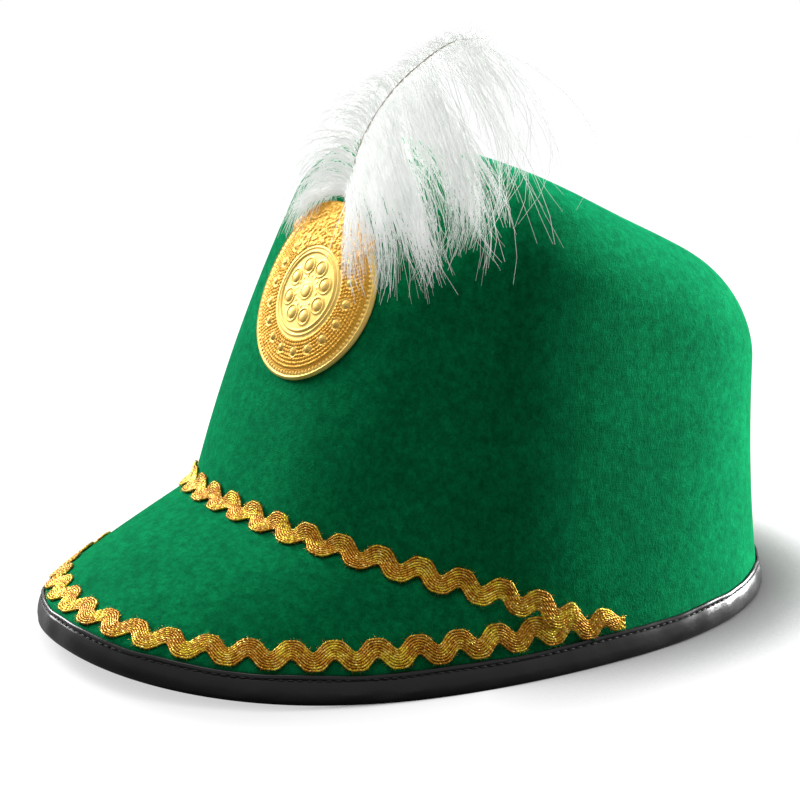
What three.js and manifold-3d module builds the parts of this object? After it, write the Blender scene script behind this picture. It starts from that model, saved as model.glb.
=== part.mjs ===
// A felt shako: a crown with a sloping top, a rounded peak, a bound rim, two wavy braids along the
// peak, a stamped badge at the front and an ostrich feather that rises behind the badge.
// Millimetres, +Z up, the front towards -Y. The origin is the middle of the rim, on the surface.
import * as THREE from 'three';
import { mergeVertices } from 'three/addons/utils/BufferGeometryUtils.js';
import Module from 'manifold-3d';

const wasm = await Module();
wasm.setup();

const DEGREE = Math.PI / 180;

// Crown, over the felt. Reaches along Y are counted from the side line, where the cap is widest.
const crownHalfWidth = 91;
const crownFrontReach = 92;
const crownBackReach = 108;
const crownRoundness = 2.3;
const feltWall = 2;

// The crown's top, before its edge is rounded.
const topHalfWidth = 62;
const topHalfLength = 66;
const topRoundness = 3;
const topCentreBack = 40;
const topHeight = 129.5;
const topSlope = 26.5 * DEGREE;
const shoulderRadius = 28;
const topDome = 3;
const frontBulge = 9.5;
const backBulge = -4;
const sideBulge = -0.5;

// The crease where the peak leaves the crown.
const creaseFrontHeight = 40;
const creaseSideHeight = 9.5;
const creaseFall = 0.66;
const creaseHalfAngle = 86 * DEGREE;
const seamGap = 0.3;

// Peak, over the felt.
const peakReach = 146.5;
const peakRoundness = 2.2;
const peakLift = 7;
const peakRoll = 0.88;

// Rim binding, a strip folded over the felt's edge.
const bindingWall = 1;
const bindingGap = 0.3;
const bindingHeight = 9;
const bindingInnerHeight = 7;

// Wavy braids.
const braidTape = 6;
const braidThickness = 1.2;
const braidSwing = 1.6;
const braidWaveLength = 13;
const braidSeat = 0.45;
const braidLapAngle = 63 * DEGREE;
const upperBraidHalfAngle = 75 * DEGREE;
const lowerBraidHalfAngle = 88 * DEGREE;
const lowerBraidInset = 6.4;
const lowerBraidSideAngle = 74 * DEGREE;

// Badge, a round plate with a slightly wider cap at its top.
const badgeHeight = 109;
const badgeAside = 2;
const badgeRadius = 28.8;
const badgeCapRadius = 30.8;
const badgeCapHalfAngle = 50 * DEGREE;
const badgePlate = 1.2;
const badgeSeat = 0.5;
const badgeStandOff = 2;
const badgeLipWidth = 1.6;
const badgeLipRise = 0.5;
const badgeDome = 1.4;
const dishRingRadius = 14;
const dishRingWidth = 1.3;
const dishRingRise = 0.6;
const dishFlatRadius = 7;
const rosetteRadius = 8.7;
const rosetteBead = 2.7;
const rosetteCount = 8;
const centreBead = 3;
const bandRadius = 20;
const bandBead = 1.9;
const bandCount = 18;

// Feather: a quill, and the locks of its two vanes.
const featherLength = 86;
const quillRadius = 1.1;
const quillTipRadius = 0.5;
const quillSeat = 0.6;
const lockWidth = 9;
const shortLockWidth = 7;
const lockThickness = 1.7;
const lockStandOff = 4;

// The quill's line, as shares of the feather's length from its root.
const quillLine = [
  { side: 0, back: 0, rise: 0 },
  { side: 0.03, back: 0.042, rise: 0.21 },
  { side: 0.055, back: 0.146, rise: 0.374 },
  { side: 0.08, back: 0.259, rise: 0.479 },
  { side: 0.11, back: 0.392, rise: 0.561 },
  { side: 0.14, back: 0.518, rise: 0.57 },
];

// Long locks that fall over the near side: the share of the quill where each leaves, and where its
// tip hangs, as degrees round from the front and a level on the crown (1 is the shoulder's start).
const longLocks = [
  { leaves: 0.05, around: 13, level: 0.84 },
  { leaves: 0.09, around: 17, level: 0.85 },
  { leaves: 0.14, around: 21, level: 0.86 },
  { leaves: 0.2, around: 25, level: 0.88 },
  { leaves: 0.27, around: 29, level: 0.89 },
  { leaves: 0.34, around: 33, level: 0.91 },
  { leaves: 0.42, around: 37, level: 0.93 },
  { leaves: 0.51, around: 41, level: 0.96 },
  { leaves: 0.61, around: 45, level: 1.01 },
  { leaves: 0.72, around: 48, level: 1.1 },
  { leaves: 0.83, around: 50, level: 1.21 },
  { leaves: 0.94, around: 52, level: 1.34 },
];

// Short locks on the far side of the quill: where each leaves, and its tip from there, as shares
// of the feather's length.
const shortLocks = [
  { leaves: 0.06, side: -0.23, back: -0.08, rise: -0.13 },
  { leaves: 0.17, side: -0.23, back: -0.06, rise: -0.08 },
  { leaves: 0.29, side: -0.21, back: -0.04, rise: -0.05 },
  { leaves: 0.42, side: -0.18, back: -0.02, rise: -0.03 },
  { leaves: 0.56, side: -0.14, back: 0, rise: -0.02 },
  { leaves: 0.7, side: -0.11, back: 0.02, rise: -0.03 },
  { leaves: 0.84, side: -0.09, back: 0.03, rise: -0.03 },
];

// How finely the faceted solids follow their curves.
const frontColumns = 28;
const backColumns = 28;
const wallRows = 6;
const shoulderRows = 4;
const topRows = 2;
const evenness = 1.25;

const vector = (x, y, z) => new THREE.Vector3(x, y, z);
const power = (value, exponent) => Math.sign(value) * Math.abs(value) ** exponent;
const mix = (a, b, share) => a + (b - a) * share;

// A point of an oval, at an angle from the front: +X at 90 degrees, the back at 180.
function oval(angle, halfWidth, front, back, roundness) {
  const ahead = Math.cos(angle);
  const x = halfWidth * power(Math.sin(angle), 2 / roundness);
  const y = -(ahead > 0 ? front : back) * power(ahead, 2 / roundness);
  return vector(x, y, 0);
}

const crownBase = (angle) => oval(angle, crownHalfWidth, crownFrontReach, crownBackReach, crownRoundness);

function topCorner(angle) {
  const point = oval(angle, topHalfWidth, topHalfLength, topHalfLength, topRoundness);
  point.z = topHeight - Math.tan(topSlope) * point.y;
  point.y += topCentreBack;
  return point;
}

function bulgeAt(angle) {
  const ahead = Math.cos(angle);
  const along = ahead > 0 ? frontBulge : backBulge;
  return along * ahead ** 2 + sideBulge * Math.sin(angle) ** 2;
}

// The straight ruling from base to top corner, bowed outwards, at a share of its length.
function ruling(angle, share) {
  const bow = bulgeAt(angle) * 4 * share * (1 - share);
  const point = crownBase(angle).lerp(topCorner(angle), share);
  point.x += Math.sin(angle) * bow;
  point.y -= Math.cos(angle) * bow;
  return point;
}

function shoulderShare(angle) {
  const length = crownBase(angle).distanceTo(topCorner(angle));
  return (length - shoulderRadius) / length;
}

const wallAtHeight = (angle, height) => ruling(angle, height / topCorner(angle).z);
const levelOfHeight = (angle, height) => height / topCorner(angle).z / shoulderShare(angle);

// The crown's outer face: levels 0 to 1 climb the wall, 1 to 2 turn over the shoulder, and 2 to 3
// cross the top to its middle.
function crownSurface(angle, level) {
  if (level <= 1) return ruling(angle, level * shoulderShare(angle));
  const corner = topCorner(angle);
  const up = corner.clone().sub(crownBase(angle)).normalize();
  const inward = vector(0, topCentreBack, topHeight).sub(corner);
  const span = inward.length();
  inward.normalize();
  if (level <= 2) {
    const turn = (level - 1) * Math.PI / 2;
    const share = shoulderShare(angle);
    const bow = bulgeAt(angle) * 4 * share * (1 - share) * (1 - Math.sin(turn));
    corner.addScaledVector(up, -shoulderRadius * (1 - Math.sin(turn)));
    corner.addScaledVector(inward, shoulderRadius * (1 - Math.cos(turn)));
    return corner.add(vector(Math.sin(angle) * bow, -Math.cos(angle) * bow, 0));
  }
  const across = level - 2;
  corner.addScaledVector(inward, mix(shoulderRadius, span, across));
  corner.z += topDome * (1 - (1 - across) ** 2);
  return corner;
}

function creaseHeight(angle) {
  const ahead = Math.max(0, Math.cos(angle * Math.PI / 2 / creaseHalfAngle));
  return mix(creaseSideHeight, creaseFrontHeight, ahead ** creaseFall);
}

const creasePoint = (angle) => wallAtHeight(angle, creaseHeight(angle));

// The rim's line on the surface: the peak's edge in front of the side line, the crown's behind it.
function rimPlan(angle) {
  const ahead = Math.cos(angle) > 0;
  return ahead ? oval(angle, crownHalfWidth, peakReach, peakReach, peakRoundness) : crownBase(angle);
}

const rimLift = (angle) => peakLift * Math.max(0, Math.cos(angle)) ** 4;

// The felt's outer face near the rim, which leans as the crown's wall does.
function rimFace(angle, height) {
  const lean = wallAtHeight(angle, height).sub(crownBase(angle));
  const point = rimPlan(angle).add(lean);
  point.z = height + rimLift(angle);
  return point;
}

function rimNormal(angle) {
  const step = 0.5 * DEGREE;
  const along = rimPlan(angle + step).sub(rimPlan(angle - step));
  return vector(along.y, -along.x, 0).normalize();
}

// The peak's outer face: levels 0 to 1 climb the edge inside the binding, and 1 to 2 climb the
// slope to the crease.
function peakSurface(angle, level) {
  const foot = bindingWall + bindingGap;
  if (level <= 1) return rimFace(angle, mix(foot, bindingHeight, level));
  const edge = rimFace(angle, bindingHeight);
  const crease = creasePoint(angle);
  const point = edge.clone().lerp(crease, level - 1);
  point.z = mix(edge.z, crease.z, (level - 1) ** peakRoll);
  return point;
}

// Angles of the columns, spaced evenly round the squarish ovals.
const spread = (step) => Math.atan2(power(Math.sin(step), evenness), power(Math.cos(step), evenness));
const lastFrontStep = Math.atan(Math.tan(creaseHalfAngle) ** (1 / evenness));

function steps(from, to, count) {
  return Array.from({ length: count + 1 }, (_, i) => mix(from, to, i / count));
}

const frontAngles = steps(-lastFrontStep, lastFrontStep, frontColumns).map(spread);
const backAngles = steps(-Math.PI / 2, Math.PI / 2, backColumns).map((step) => Math.PI + spread(step));
const allAngles = [...frontAngles, ...backAngles];

function bodyOf(positions, index) {
  const geometry = new THREE.BufferGeometry();
  geometry.setAttribute('position', new THREE.Float32BufferAttribute(positions, 3));
  geometry.setIndex(index);
  geometry.computeVertexNormals();
  return geometry;
}

// A closed body through rings of equal count. Each ring runs clockwise as seen from the next one's
// side of it. The last ring joins the first when closed, and otherwise both ends get a cap.
function loft(rings, closed = false) {
  const count = rings[0].length;
  const positions = rings.flat().flatMap((p) => [p.x, p.y, p.z]);
  const index = [];
  const last = closed ? rings.length : rings.length - 1;
  for (let i = 0; i < last; i++) {
    const next = (i + 1) % rings.length;
    for (let j = 0; j < count; j++) {
      const k = (j + 1) % count;
      const [a, b, c, d] = [i * count + j, next * count + j, next * count + k, i * count + k];
      index.push(a, b, c, a, c, d);
    }
  }
  if (!closed) {
    const end = (rings.length - 1) * count;
    for (let j = 1; j < count - 1; j++) {
      index.push(0, j, j + 1);
      index.push(end, end + j + 1, end + j);
    }
  }
  return bodyOf(positions, index);
}

// A felt wall from a grid of points on its outer face, rows going up. The inner face lies one
// wall's thickness behind each point, and level with it in the lowest rows, which end in a flat edge.
function feltShell(grid, closed, levelRows, apex) {
  const rows = grid.length;
  const columns = grid[0].length;
  const inside = (c) => (closed ? (c + columns) % columns : THREE.MathUtils.clamp(c, 0, columns - 1));
  const at = (r, c) => grid[r][inside(c)];
  const positions = grid.flat().flatMap((p) => [p.x, p.y, p.z]);
  for (let r = 0; r < rows; r++) {
    for (let c = 0; c < columns; c++) {
      const along = at(r, c + 1).clone().sub(at(r, c - 1));
      const up = at(Math.min(r + 1, rows - 1), c).clone().sub(at(Math.max(r - 1, 0), c));
      const normal = along.cross(up);
      if (r < levelRows) normal.z = 0;
      const inner = at(r, c).clone().addScaledVector(normal.normalize(), -feltWall);
      positions.push(inner.x, inner.y, inner.z);
    }
  }
  const index = [];
  const offset = rows * columns;
  const quad = (a, b, c, d) => index.push(a, b, c, a, c, d);
  const spans = closed ? columns : columns - 1;
  for (let c = 0; c < spans; c++) {
    const n = (c + 1) % columns;
    for (let r = 0; r < rows - 1; r++) {
      const [a, b] = [r * columns + c, r * columns + n];
      quad(a, b, b + columns, a + columns);
      quad(offset + a, offset + a + columns, offset + b + columns, offset + b);
    }
    const top = (rows - 1) * columns;
    quad(c, offset + c, offset + n, n);
    if (apex) {
      index.push(top + c, top + n, 2 * offset);
      index.push(offset + top + n, offset + top + c, 2 * offset + 1);
    } else {
      quad(top + c, top + n, offset + top + n, offset + top + c);
    }
  }
  if (apex) positions.push(apex.x, apex.y, apex.z, apex.x, apex.y, apex.z - feltWall);
  if (!closed) {
    for (let r = 0; r < rows - 1; r++) {
      const [low, high] = [r * columns, (r + 1) * columns];
      quad(low, high, offset + high, offset + low);
      quad(low + columns - 1, offset + low + columns - 1, offset + high + columns - 1, high + columns - 1);
    }
  }
  return bodyOf(positions, index);
}

function crownShell() {
  const footHeight = bindingWall + bindingGap;
  const levels = allAngles.map((angle, i) => {
    const overPeak = i < frontAngles.length;
    const foot = levelOfHeight(angle, overPeak ? creaseHeight(angle) + seamGap : footHeight);
    const wall = steps(foot, 1, wallRows);
    const shoulder = steps(1, 2, shoulderRows).slice(1);
    const top = steps(2, 3, topRows + 1).slice(1, -1);
    return [...wall, ...shoulder, ...top];
  });
  const grid = levels[0].map((_, row) => allAngles.map((angle, i) => crownSurface(angle, levels[i][row])));
  return feltShell(grid, true, 1, crownSurface(0, 3));
}

function peakShell() {
  const levels = [0, 0.7, 1, 1.08, 1.25, 1.45, 1.65, 1.85, 2];
  const grid = levels.map((level) => frontAngles.map((angle) => peakSurface(angle, level)));
  return feltShell(grid, false, levels.indexOf(1) + 1);
}

function bindingStrip() {
  const outer = bindingGap + bindingWall;
  const inner = -feltWall - bindingGap;
  const section = [
    { out: outer, up: 0 },
    { out: outer, up: bindingHeight },
    { out: bindingGap, up: bindingHeight },
    { out: bindingGap, up: bindingWall },
    { out: inner, up: bindingWall },
    { out: inner, up: bindingInnerHeight },
    { out: inner - bindingWall, up: bindingInnerHeight },
    { out: inner - bindingWall, up: 0 },
  ];
  const rings = allAngles.map((angle) => {
    const normal = rimNormal(angle);
    return section.map(({ out, up }) => rimFace(angle, up).addScaledVector(normal, out));
  });
  return loft(rings, true);
}

const crownGeometry = crownShell();
const peakGeometry = peakShell();
const feltMeshes = [crownGeometry, peakGeometry].map((geometry) => new THREE.Mesh(geometry));
const caster = new THREE.Raycaster();

// The point of the felt that is met on the way in along a direction, raised off it by a distance.
function onFelt(point, outward, raised) {
  const far = crownBackReach;
  caster.set(point.clone().addScaledVector(outward, far), outward.clone().negate());
  const hit = caster.intersectObjects(feltMeshes)[0];
  const seat = hit ? hit.point : point;
  return seat.clone().addScaledVector(outward, raised);
}

function surfaceNormal(surface, angle, level) {
  const step = 0.5 * DEGREE;
  const along = surface(angle + step, level).sub(surface(angle - step, level));
  const up = surface(angle, level + 0.02).sub(surface(angle, level - 0.02));
  return along.cross(up).normalize();
}

// Stations along a line, evenly spaced, with the line's direction at each.
function stationsAlong(line, from, to, spacing) {
  const fine = steps(from, to, 400);
  const points = fine.map(line);
  const lengths = [0];
  for (let i = 1; i < points.length; i++) lengths.push(lengths[i - 1] + points[i].distanceTo(points[i - 1]));
  const total = lengths.at(-1);
  const waves = Math.round(total / spacing);
  const perWave = 6;
  return steps(0, total, waves * perWave).map((length, i) => {
    const after = Math.max(1, lengths.findIndex((value) => value >= length - 1e-9));
    const share = (length - lengths[after - 1]) / (lengths[after] - lengths[after - 1]);
    const angle = mix(fine[after - 1], fine[after], share);
    const direction = points[after].clone().sub(points[after - 1]).normalize();
    return { angle, direction, point: line(angle), phase: i / perWave * 2 * Math.PI };
  });
}

// A wavy tape laid on the felt. At each station, upward(station, v) gives the way up the felt and
// outward(station, v) the way off it, on either side of the line, and raised(station) how far off.
function wavyBraid(stations, upward, outward, raised, across) {
  const slope = braidSwing * 2 * Math.PI / braidWaveLength;
  const rings = stations.map((station) => {
    const middle = braidSwing * Math.sin(station.phase);
    const half = braidTape / 2 * Math.hypot(1, slope * Math.cos(station.phase));
    const low = [];
    const high = [];
    for (const share of across) {
      const v = middle + half * share;
      const out = outward(station, v);
      const guess = station.point.clone().addScaledVector(upward(station, v), Math.abs(v));
      const seat = onFelt(guess, out, raised(station));
      low.push(seat);
      high.push(seat.clone().addScaledVector(out, braidThickness));
    }
    return [...high, ...low.reverse()];
  });
  return loft(rings);
}

function upperBraid() {
  const wall = ({ angle }) => surfaceNormal(crownSurface, angle, levelOfHeight(angle, creaseFrontHeight));
  const slope = (station) => surfaceNormal(peakSurface, station.angle, 1.9);
  const upward = (station, v) => {
    if (v >= 0) return wall(station).cross(station.direction).normalize();
    return station.direction.clone().cross(slope(station)).normalize();
  };
  const outward = (station, v) => {
    const share = THREE.MathUtils.smoothstep(v, -braidTape / 2, braidTape / 2);
    return slope(station).lerp(wall(station), share).normalize();
  };
  // Its ends climb over the lower braid.
  const raised = ({ angle }) => {
    const lap = THREE.MathUtils.smoothstep(Math.abs(angle), braidLapAngle - 5 * DEGREE, braidLapAngle);
    return braidSeat + lap * (braidThickness + braidSeat);
  };
  const stations = stationsAlong(creasePoint, -upperBraidHalfAngle, upperBraidHalfAngle, braidWaveLength);
  return wavyBraid(stations, upward, outward, raised, [-1, 0, 1]);
}

function lowerBraid() {
  const outward = ({ angle }) => {
    const bounded = THREE.MathUtils.clamp(angle, -lowerBraidSideAngle, lowerBraidSideAngle);
    const share = THREE.MathUtils.smoothstep(Math.abs(angle), lowerBraidSideAngle, creaseHalfAngle);
    const wall = rimNormal(angle).add(vector(0, 0, 0.1));
    return surfaceNormal(peakSurface, bounded, 1.15).lerp(wall, share).normalize();
  };
  const edge = (angle) => rimFace(angle, bindingHeight);
  const stations = stationsAlong(edge, -lowerBraidHalfAngle, lowerBraidHalfAngle, braidWaveLength);
  for (const station of stations) {
    const up = outward(station).cross(station.direction).normalize();
    station.point.addScaledVector(up, lowerBraidInset);
  }
  const upward = (station, v) => outward(station).cross(station.direction).normalize().multiplyScalar(Math.sign(v));
  return wavyBraid(stations, upward, outward, () => braidSeat, [-1, 1]);
}

function solidOf(geometry) {
  const bare = geometry.clone();
  bare.deleteAttribute('normal');
  if (bare.hasAttribute('uv')) bare.deleteAttribute('uv');
  const merged = mergeVertices(bare, 1e-4);
  const vertProperties = new Float32Array(merged.attributes.position.array);
  const triVerts = new Uint32Array(merged.index.array);
  return new wasm.Manifold(new wasm.Mesh({ numProp: 3, vertProperties, triVerts }));
}

function geometryOf(solid) {
  const mesh = solid.getMesh();
  return bodyOf(Array.from(mesh.vertProperties), Array.from(mesh.triVerts));
}

// A turned profile whose axis is +Z, from pairs of radius and height.
function turned(pairs, sides) {
  const geometry = new THREE.LatheGeometry(pairs.map(([r, h]) => new THREE.Vector2(r, h)), sides);
  return geometry.rotateX(Math.PI / 2);
}

// A low bead at a place on the plate, from a half-round profile that starts inside the plate.
function bead(radius, x, y, base) {
  const sides = radius > bandBead ? 8 : 6;
  const foot = base - badgePlate / 2;
  const rise = radius * 0.75;
  const turns = [0, Math.PI / 4].map((turn) => [radius * Math.cos(turn), base + rise * Math.sin(turn)]);
  return turned([[0, foot], [radius, foot], ...turns, [0, base + rise]], sides).translate(x, y, 0);
}

const domeAt = (radius) => badgePlate + badgeDome * (1 - (radius / badgeRadius) ** 2);

function plateProfile(radius) {
  const ring = [dishRingRadius - dishRingWidth / 2, dishRingRadius, dishRingRadius + dishRingWidth / 2];
  const back = steps(0, radius, 3).map((r) => [r, 0]);
  const lip = [
    [radius, badgePlate + badgeLipRise],
    [radius - badgeLipWidth, badgePlate + badgeLipRise],
    [radius - badgeLipWidth - 0.4, domeAt(radius - badgeLipWidth)],
  ];
  const dish = [
    [ring[2] + 0.3, domeAt(ring[2])],
    [ring[1], domeAt(ring[1]) + dishRingRise],
    [ring[0] - 0.3, domeAt(ring[0])],
    [dishFlatRadius, domeAt(dishFlatRadius)],
    [0, domeAt(0)],
  ];
  return [...back, ...lip, ...dish];
}

// The badge laid flat: the plate, its wider cap, the rosette of beads and the band of beads.
function flatBadge() {
  const sides = 32;
  let solid = solidOf(turned(plateProfile(badgeRadius), sides));
  const from = Math.PI / 2 - badgeCapHalfAngle;
  const shape = new THREE.Shape();
  shape.absarc(0, 0, badgeCapRadius, from, Math.PI - from, false);
  shape.absarc(0, 0, badgeRadius - badgeLipWidth, Math.PI - from, from, true);
  const cap = new THREE.ExtrudeGeometry(shape, { depth: badgePlate, bevelEnabled: false, curveSegments: 12 });
  solid = solid.add(solidOf(cap));
  solid = solid.add(solidOf(bead(centreBead, 0, 0, domeAt(0))));
  const rows = [
    { count: rosetteCount, size: rosetteBead, radius: rosetteRadius },
    { count: bandCount, size: bandBead, radius: bandRadius },
  ];
  for (const { count, size, radius } of rows) {
    for (let i = 0; i < count; i++) {
      const turn = i / count * 2 * Math.PI;
      const geometry = bead(size, radius * Math.cos(turn), radius * Math.sin(turn), domeAt(radius));
      solid = solid.add(solidOf(geometry));
    }
  }
  return geometryOf(solid);
}

const badgeCentre = wallAtHeight(0, badgeHeight);
const badgeOutward = surfaceNormal(crownSurface, 0, levelOfHeight(0, badgeHeight));
const badgeSideways = vector(1, 0, 0);
const badgeUpward = badgeOutward.clone().cross(badgeSideways).normalize();

// Bends a point of the flat badge onto the crown's front.
function onCrownFront(x, y, height) {
  const flat = badgeCentre.clone().addScaledVector(badgeSideways, x + badgeAside);
  flat.addScaledVector(badgeUpward, y);
  return onFelt(flat, badgeOutward, badgeSeat + height);
}

// The badge on the crown, whose upper half stands off a little more towards its top.
function badgeGeometry() {
  const geometry = flatBadge();
  const place = geometry.attributes.position;
  for (let i = 0; i < place.count; i++) {
    const off = badgeStandOff * (Math.max(0, place.getY(i)) / badgeRadius) ** 2;
    const point = onCrownFront(place.getX(i), place.getY(i), place.getZ(i) + off);
    place.setXYZ(i, point.x, point.y, point.z);
  }
  geometry.computeVertexNormals();
  return geometry;
}

// A tapering strip or rod along a curve, whose many-sided section is wide across facing, which
// turns from one direction at the root to another at the tip.
function taperedStrip(curve, count, sides, widthAt, thicknessAt, facing) {
  const rings = steps(0, 1, count).map((share) => {
    const along = curve.getTangent(share);
    const across = facing.root.clone().lerp(facing.tip, share).cross(along).normalize();
    const off = along.clone().cross(across).normalize();
    return Array.from({ length: sides }, (_, i) => {
      const turn = -i / sides * 2 * Math.PI;
      const point = curve.getPoint(share);
      point.addScaledVector(across, widthAt(share) / 2 * Math.cos(turn));
      return point.addScaledVector(off, thicknessAt(share) / 2 * Math.sin(turn));
    });
  });
  return loft(rings);
}

function featherGeometry() {
  const standOff = quillRadius + quillSeat;
  const root = onCrownFront(0, badgeCapRadius + standOff, standOff - badgeSeat);
  const place = ({ side, back, rise }) => vector(side, back, rise).multiplyScalar(featherLength);
  const quill = new THREE.CatmullRomCurve3(quillLine.map((row) => root.clone().add(place(row))));
  const quillWidth = (share) => 2 * mix(quillRadius, quillTipRadius, share);
  const ahead = vector(0, -1, 0);
  const sideways = { root: vector(1, 0, 0), tip: vector(1, 0, 0) };
  let solid = solidOf(taperedStrip(quill, 10, 6, quillWidth, quillWidth, sideways));
  const taper = (share) => 0.25 + 0.75 * Math.sin(Math.PI * (0.1 + 0.85 * share));
  const longWidth = (share) => lockWidth * taper(share);
  const shortWidth = (share) => shortLockWidth * taper(share);
  const thickness = (share) => lockThickness * (1 - 0.4 * share);
  for (const { leaves, around, level } of longLocks) {
    const from = quill.getPoint(leaves);
    const angle = around * DEGREE;
    const outward = surfaceNormal(crownSurface, angle, level);
    const tip = crownSurface(angle, level).addScaledVector(outward, lockStandOff);
    const fall = from.distanceTo(tip);
    const away = vector(Math.sin(angle), 0, mix(0.5, 0, leaves)).normalize();
    const leaving = from.clone().addScaledVector(away, fall * 0.26);
    const above = tip.clone().add(vector(0, 0, fall * 0.4)).addScaledVector(outward, fall * 0.05);
    const curve = new THREE.CubicBezierCurve3(from, leaving, above, tip);
    const facing = { root: ahead, tip: vector(outward.x, outward.y, 0).normalize() };
    solid = solid.add(solidOf(taperedStrip(curve, 7, 4, longWidth, thickness, facing)));
  }
  for (const row of shortLocks) {
    const from = quill.getPoint(row.leaves);
    const tip = from.clone().add(place(row));
    const leaving = from.clone().add(vector(0.5 * (tip.x - from.x), -1, 0.03 * featherLength));
    const curve = new THREE.QuadraticBezierCurve3(from, leaving, tip);
    const facing = { root: ahead, tip: ahead };
    solid = solid.add(solidOf(taperedStrip(curve, 4, 4, shortWidth, thickness, facing)));
  }
  return geometryOf(solid);
}

const felt = { color: 0x00703c, roughness: 0.95, metalness: 0 };
const goldThread = { color: 0xc98a1c, roughness: 0.45, metalness: 0.6 };
const pieces = [
  { name: 'crown', geometry: crownGeometry, finish: felt },
  { name: 'peak', geometry: peakGeometry, finish: felt },
  { name: 'rim_binding', geometry: bindingStrip(), finish: { color: 0x161618, roughness: 0.25, metalness: 0 } },
  { name: 'upper_braid', geometry: upperBraid(), finish: goldThread },
  { name: 'lower_braid', geometry: lowerBraid(), finish: goldThread },
  { name: 'badge', geometry: badgeGeometry(), finish: { color: 0xe8b84a, roughness: 0.3, metalness: 0.9 } },
  { name: 'feather', geometry: featherGeometry(), finish: { color: 0xe9e9e6, roughness: 0.9, metalness: 0 } },
];

const cap = new THREE.Group();
for (const { name, geometry, finish } of pieces) {
  const mesh = new THREE.Mesh(geometry, new THREE.MeshStandardMaterial(finish));
  mesh.name = name;
  cap.add(mesh);
}

// The side line goes as far behind the origin as the peak reaches further than the back.
cap.position.y = (peakReach - crownBackReach) / 2;

export default cap;
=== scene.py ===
"""A felt shako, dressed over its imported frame: crown and peak, vinyl binding, wavy gold braids, a
stamped badge and an ostrich feather, on a pale studio floor."""

import math

import bpy
import numpy as np
from bpy.props import FloatProperty, FloatVectorProperty, IntProperty, PointerProperty
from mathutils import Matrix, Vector
from mathutils.bvhtree import BVHTree


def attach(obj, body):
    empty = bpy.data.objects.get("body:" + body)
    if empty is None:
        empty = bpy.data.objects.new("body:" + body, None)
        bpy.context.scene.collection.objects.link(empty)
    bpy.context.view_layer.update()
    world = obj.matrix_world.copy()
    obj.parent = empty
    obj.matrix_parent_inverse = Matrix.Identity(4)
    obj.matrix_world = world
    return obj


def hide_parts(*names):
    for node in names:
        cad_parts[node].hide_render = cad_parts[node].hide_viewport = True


bl_info = {
    "name": "Felt Shako",
    "version": (1, 0, 0),
    "blender": (4, 5, 0),
    "location": "View3D > Sidebar > Shako",
    "description": "Makes a felt shako with braid, badge and feather over its packed frame",
    "category": "Add Mesh",
}

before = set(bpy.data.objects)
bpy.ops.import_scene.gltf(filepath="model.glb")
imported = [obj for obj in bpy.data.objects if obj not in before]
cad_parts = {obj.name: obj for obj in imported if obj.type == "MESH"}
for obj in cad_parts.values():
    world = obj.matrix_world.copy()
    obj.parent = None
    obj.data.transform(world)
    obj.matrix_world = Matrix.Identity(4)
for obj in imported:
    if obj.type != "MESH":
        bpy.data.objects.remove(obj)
BODY = "root"


# Sizes and colours


def length(name, description, default):
    """A size in metres."""
    return FloatProperty(name=name, description=description, default=default, unit="LENGTH", precision=5)


def turn(name, description, degrees):
    """An angle, typed in degrees."""
    return FloatProperty(name=name, description=description, default=math.radians(degrees), subtype="ANGLE")


def ratio(name, description, default):
    """A plain number."""
    return FloatProperty(name=name, description=description, default=default, precision=3)


def colour(name, description, default):
    """A linear colour."""
    return FloatVectorProperty(
        name=name, description=description, default=(*default, 1.0), size=4, min=0, max=1, subtype="COLOR"
    )


def count(name, description, default):
    """A whole number of copies or rows."""
    return IntProperty(name=name, description=description, default=default, min=1)


class ShakoCrown(bpy.types.PropertyGroup):
    """The crown's sizes, over the felt. Reaches are counted from the side line, the widest one."""

    half_width: length("Half width", "From the middle to the side at the rim", 0.091)
    front_reach: length("Front reach", "From the side line to the front of the crown's base", 0.092)
    back_reach: length("Back reach", "From the side line to the back of the crown's base", 0.108)
    roundness: ratio("Roundness", "2 is an ellipse, and more is squarer", 2.3)
    top_half_width: length("Top half width", "Half the top's width before its edge is rounded", 0.062)
    top_half_length: length("Top half length", "Half the top's length before its edge is rounded", 0.066)
    top_roundness: ratio("Top roundness", "2 is an ellipse, and more is squarer", 3.0)
    top_centre_back: length("Top centre", "How far the top's middle lies behind the side line", 0.04)
    top_height: length("Top height", "Height of the top's middle, without its dome", 0.1295)
    top_slope: turn("Top slope", "How much the top falls towards the back", 26.5)
    shoulder: length("Shoulder", "How far the rounding of the top's edge reaches", 0.028)
    top_dome: length("Top dome", "How much the top's middle stands up", 0.003)
    front_bulge: length("Front bulge", "How far the front wall bows out", 0.0095)
    back_bulge: length("Back bulge", "How far the back wall bows out", -0.004)
    side_bulge: length("Side bulge", "How far the side walls bow out", -0.0005)
    wall: length("Felt thickness", "Thickness of the felt", 0.002)


class ShakoPeak(bpy.types.PropertyGroup):
    """The peak's sizes, over the felt, and its crease with the crown."""

    reach: length("Reach", "From the side line to the front of the peak", 0.1465)
    roundness: ratio("Roundness", "2 is an ellipse, and more is squarer", 2.2)
    lift: length("Lift", "How much the peak's front stands off the surface", 0.007)
    roll: ratio("Roll", "1 is a straight slope, and less is rounder near the rim", 0.88)
    crease_front: length("Crease at the front", "Height of the crease at the front", 0.04)
    crease_side: length("Crease at the side", "Height of the crease where it ends", 0.008)
    crease_fall: ratio("Crease fall", "How early the crease falls towards the sides", 0.66)
    crease_half_angle: turn("Crease half angle", "Where the crease ends, from the front", 86)
    seam_gap: length("Seam gap", "Room between the crown's edge and the peak's", 0.0001)


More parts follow.
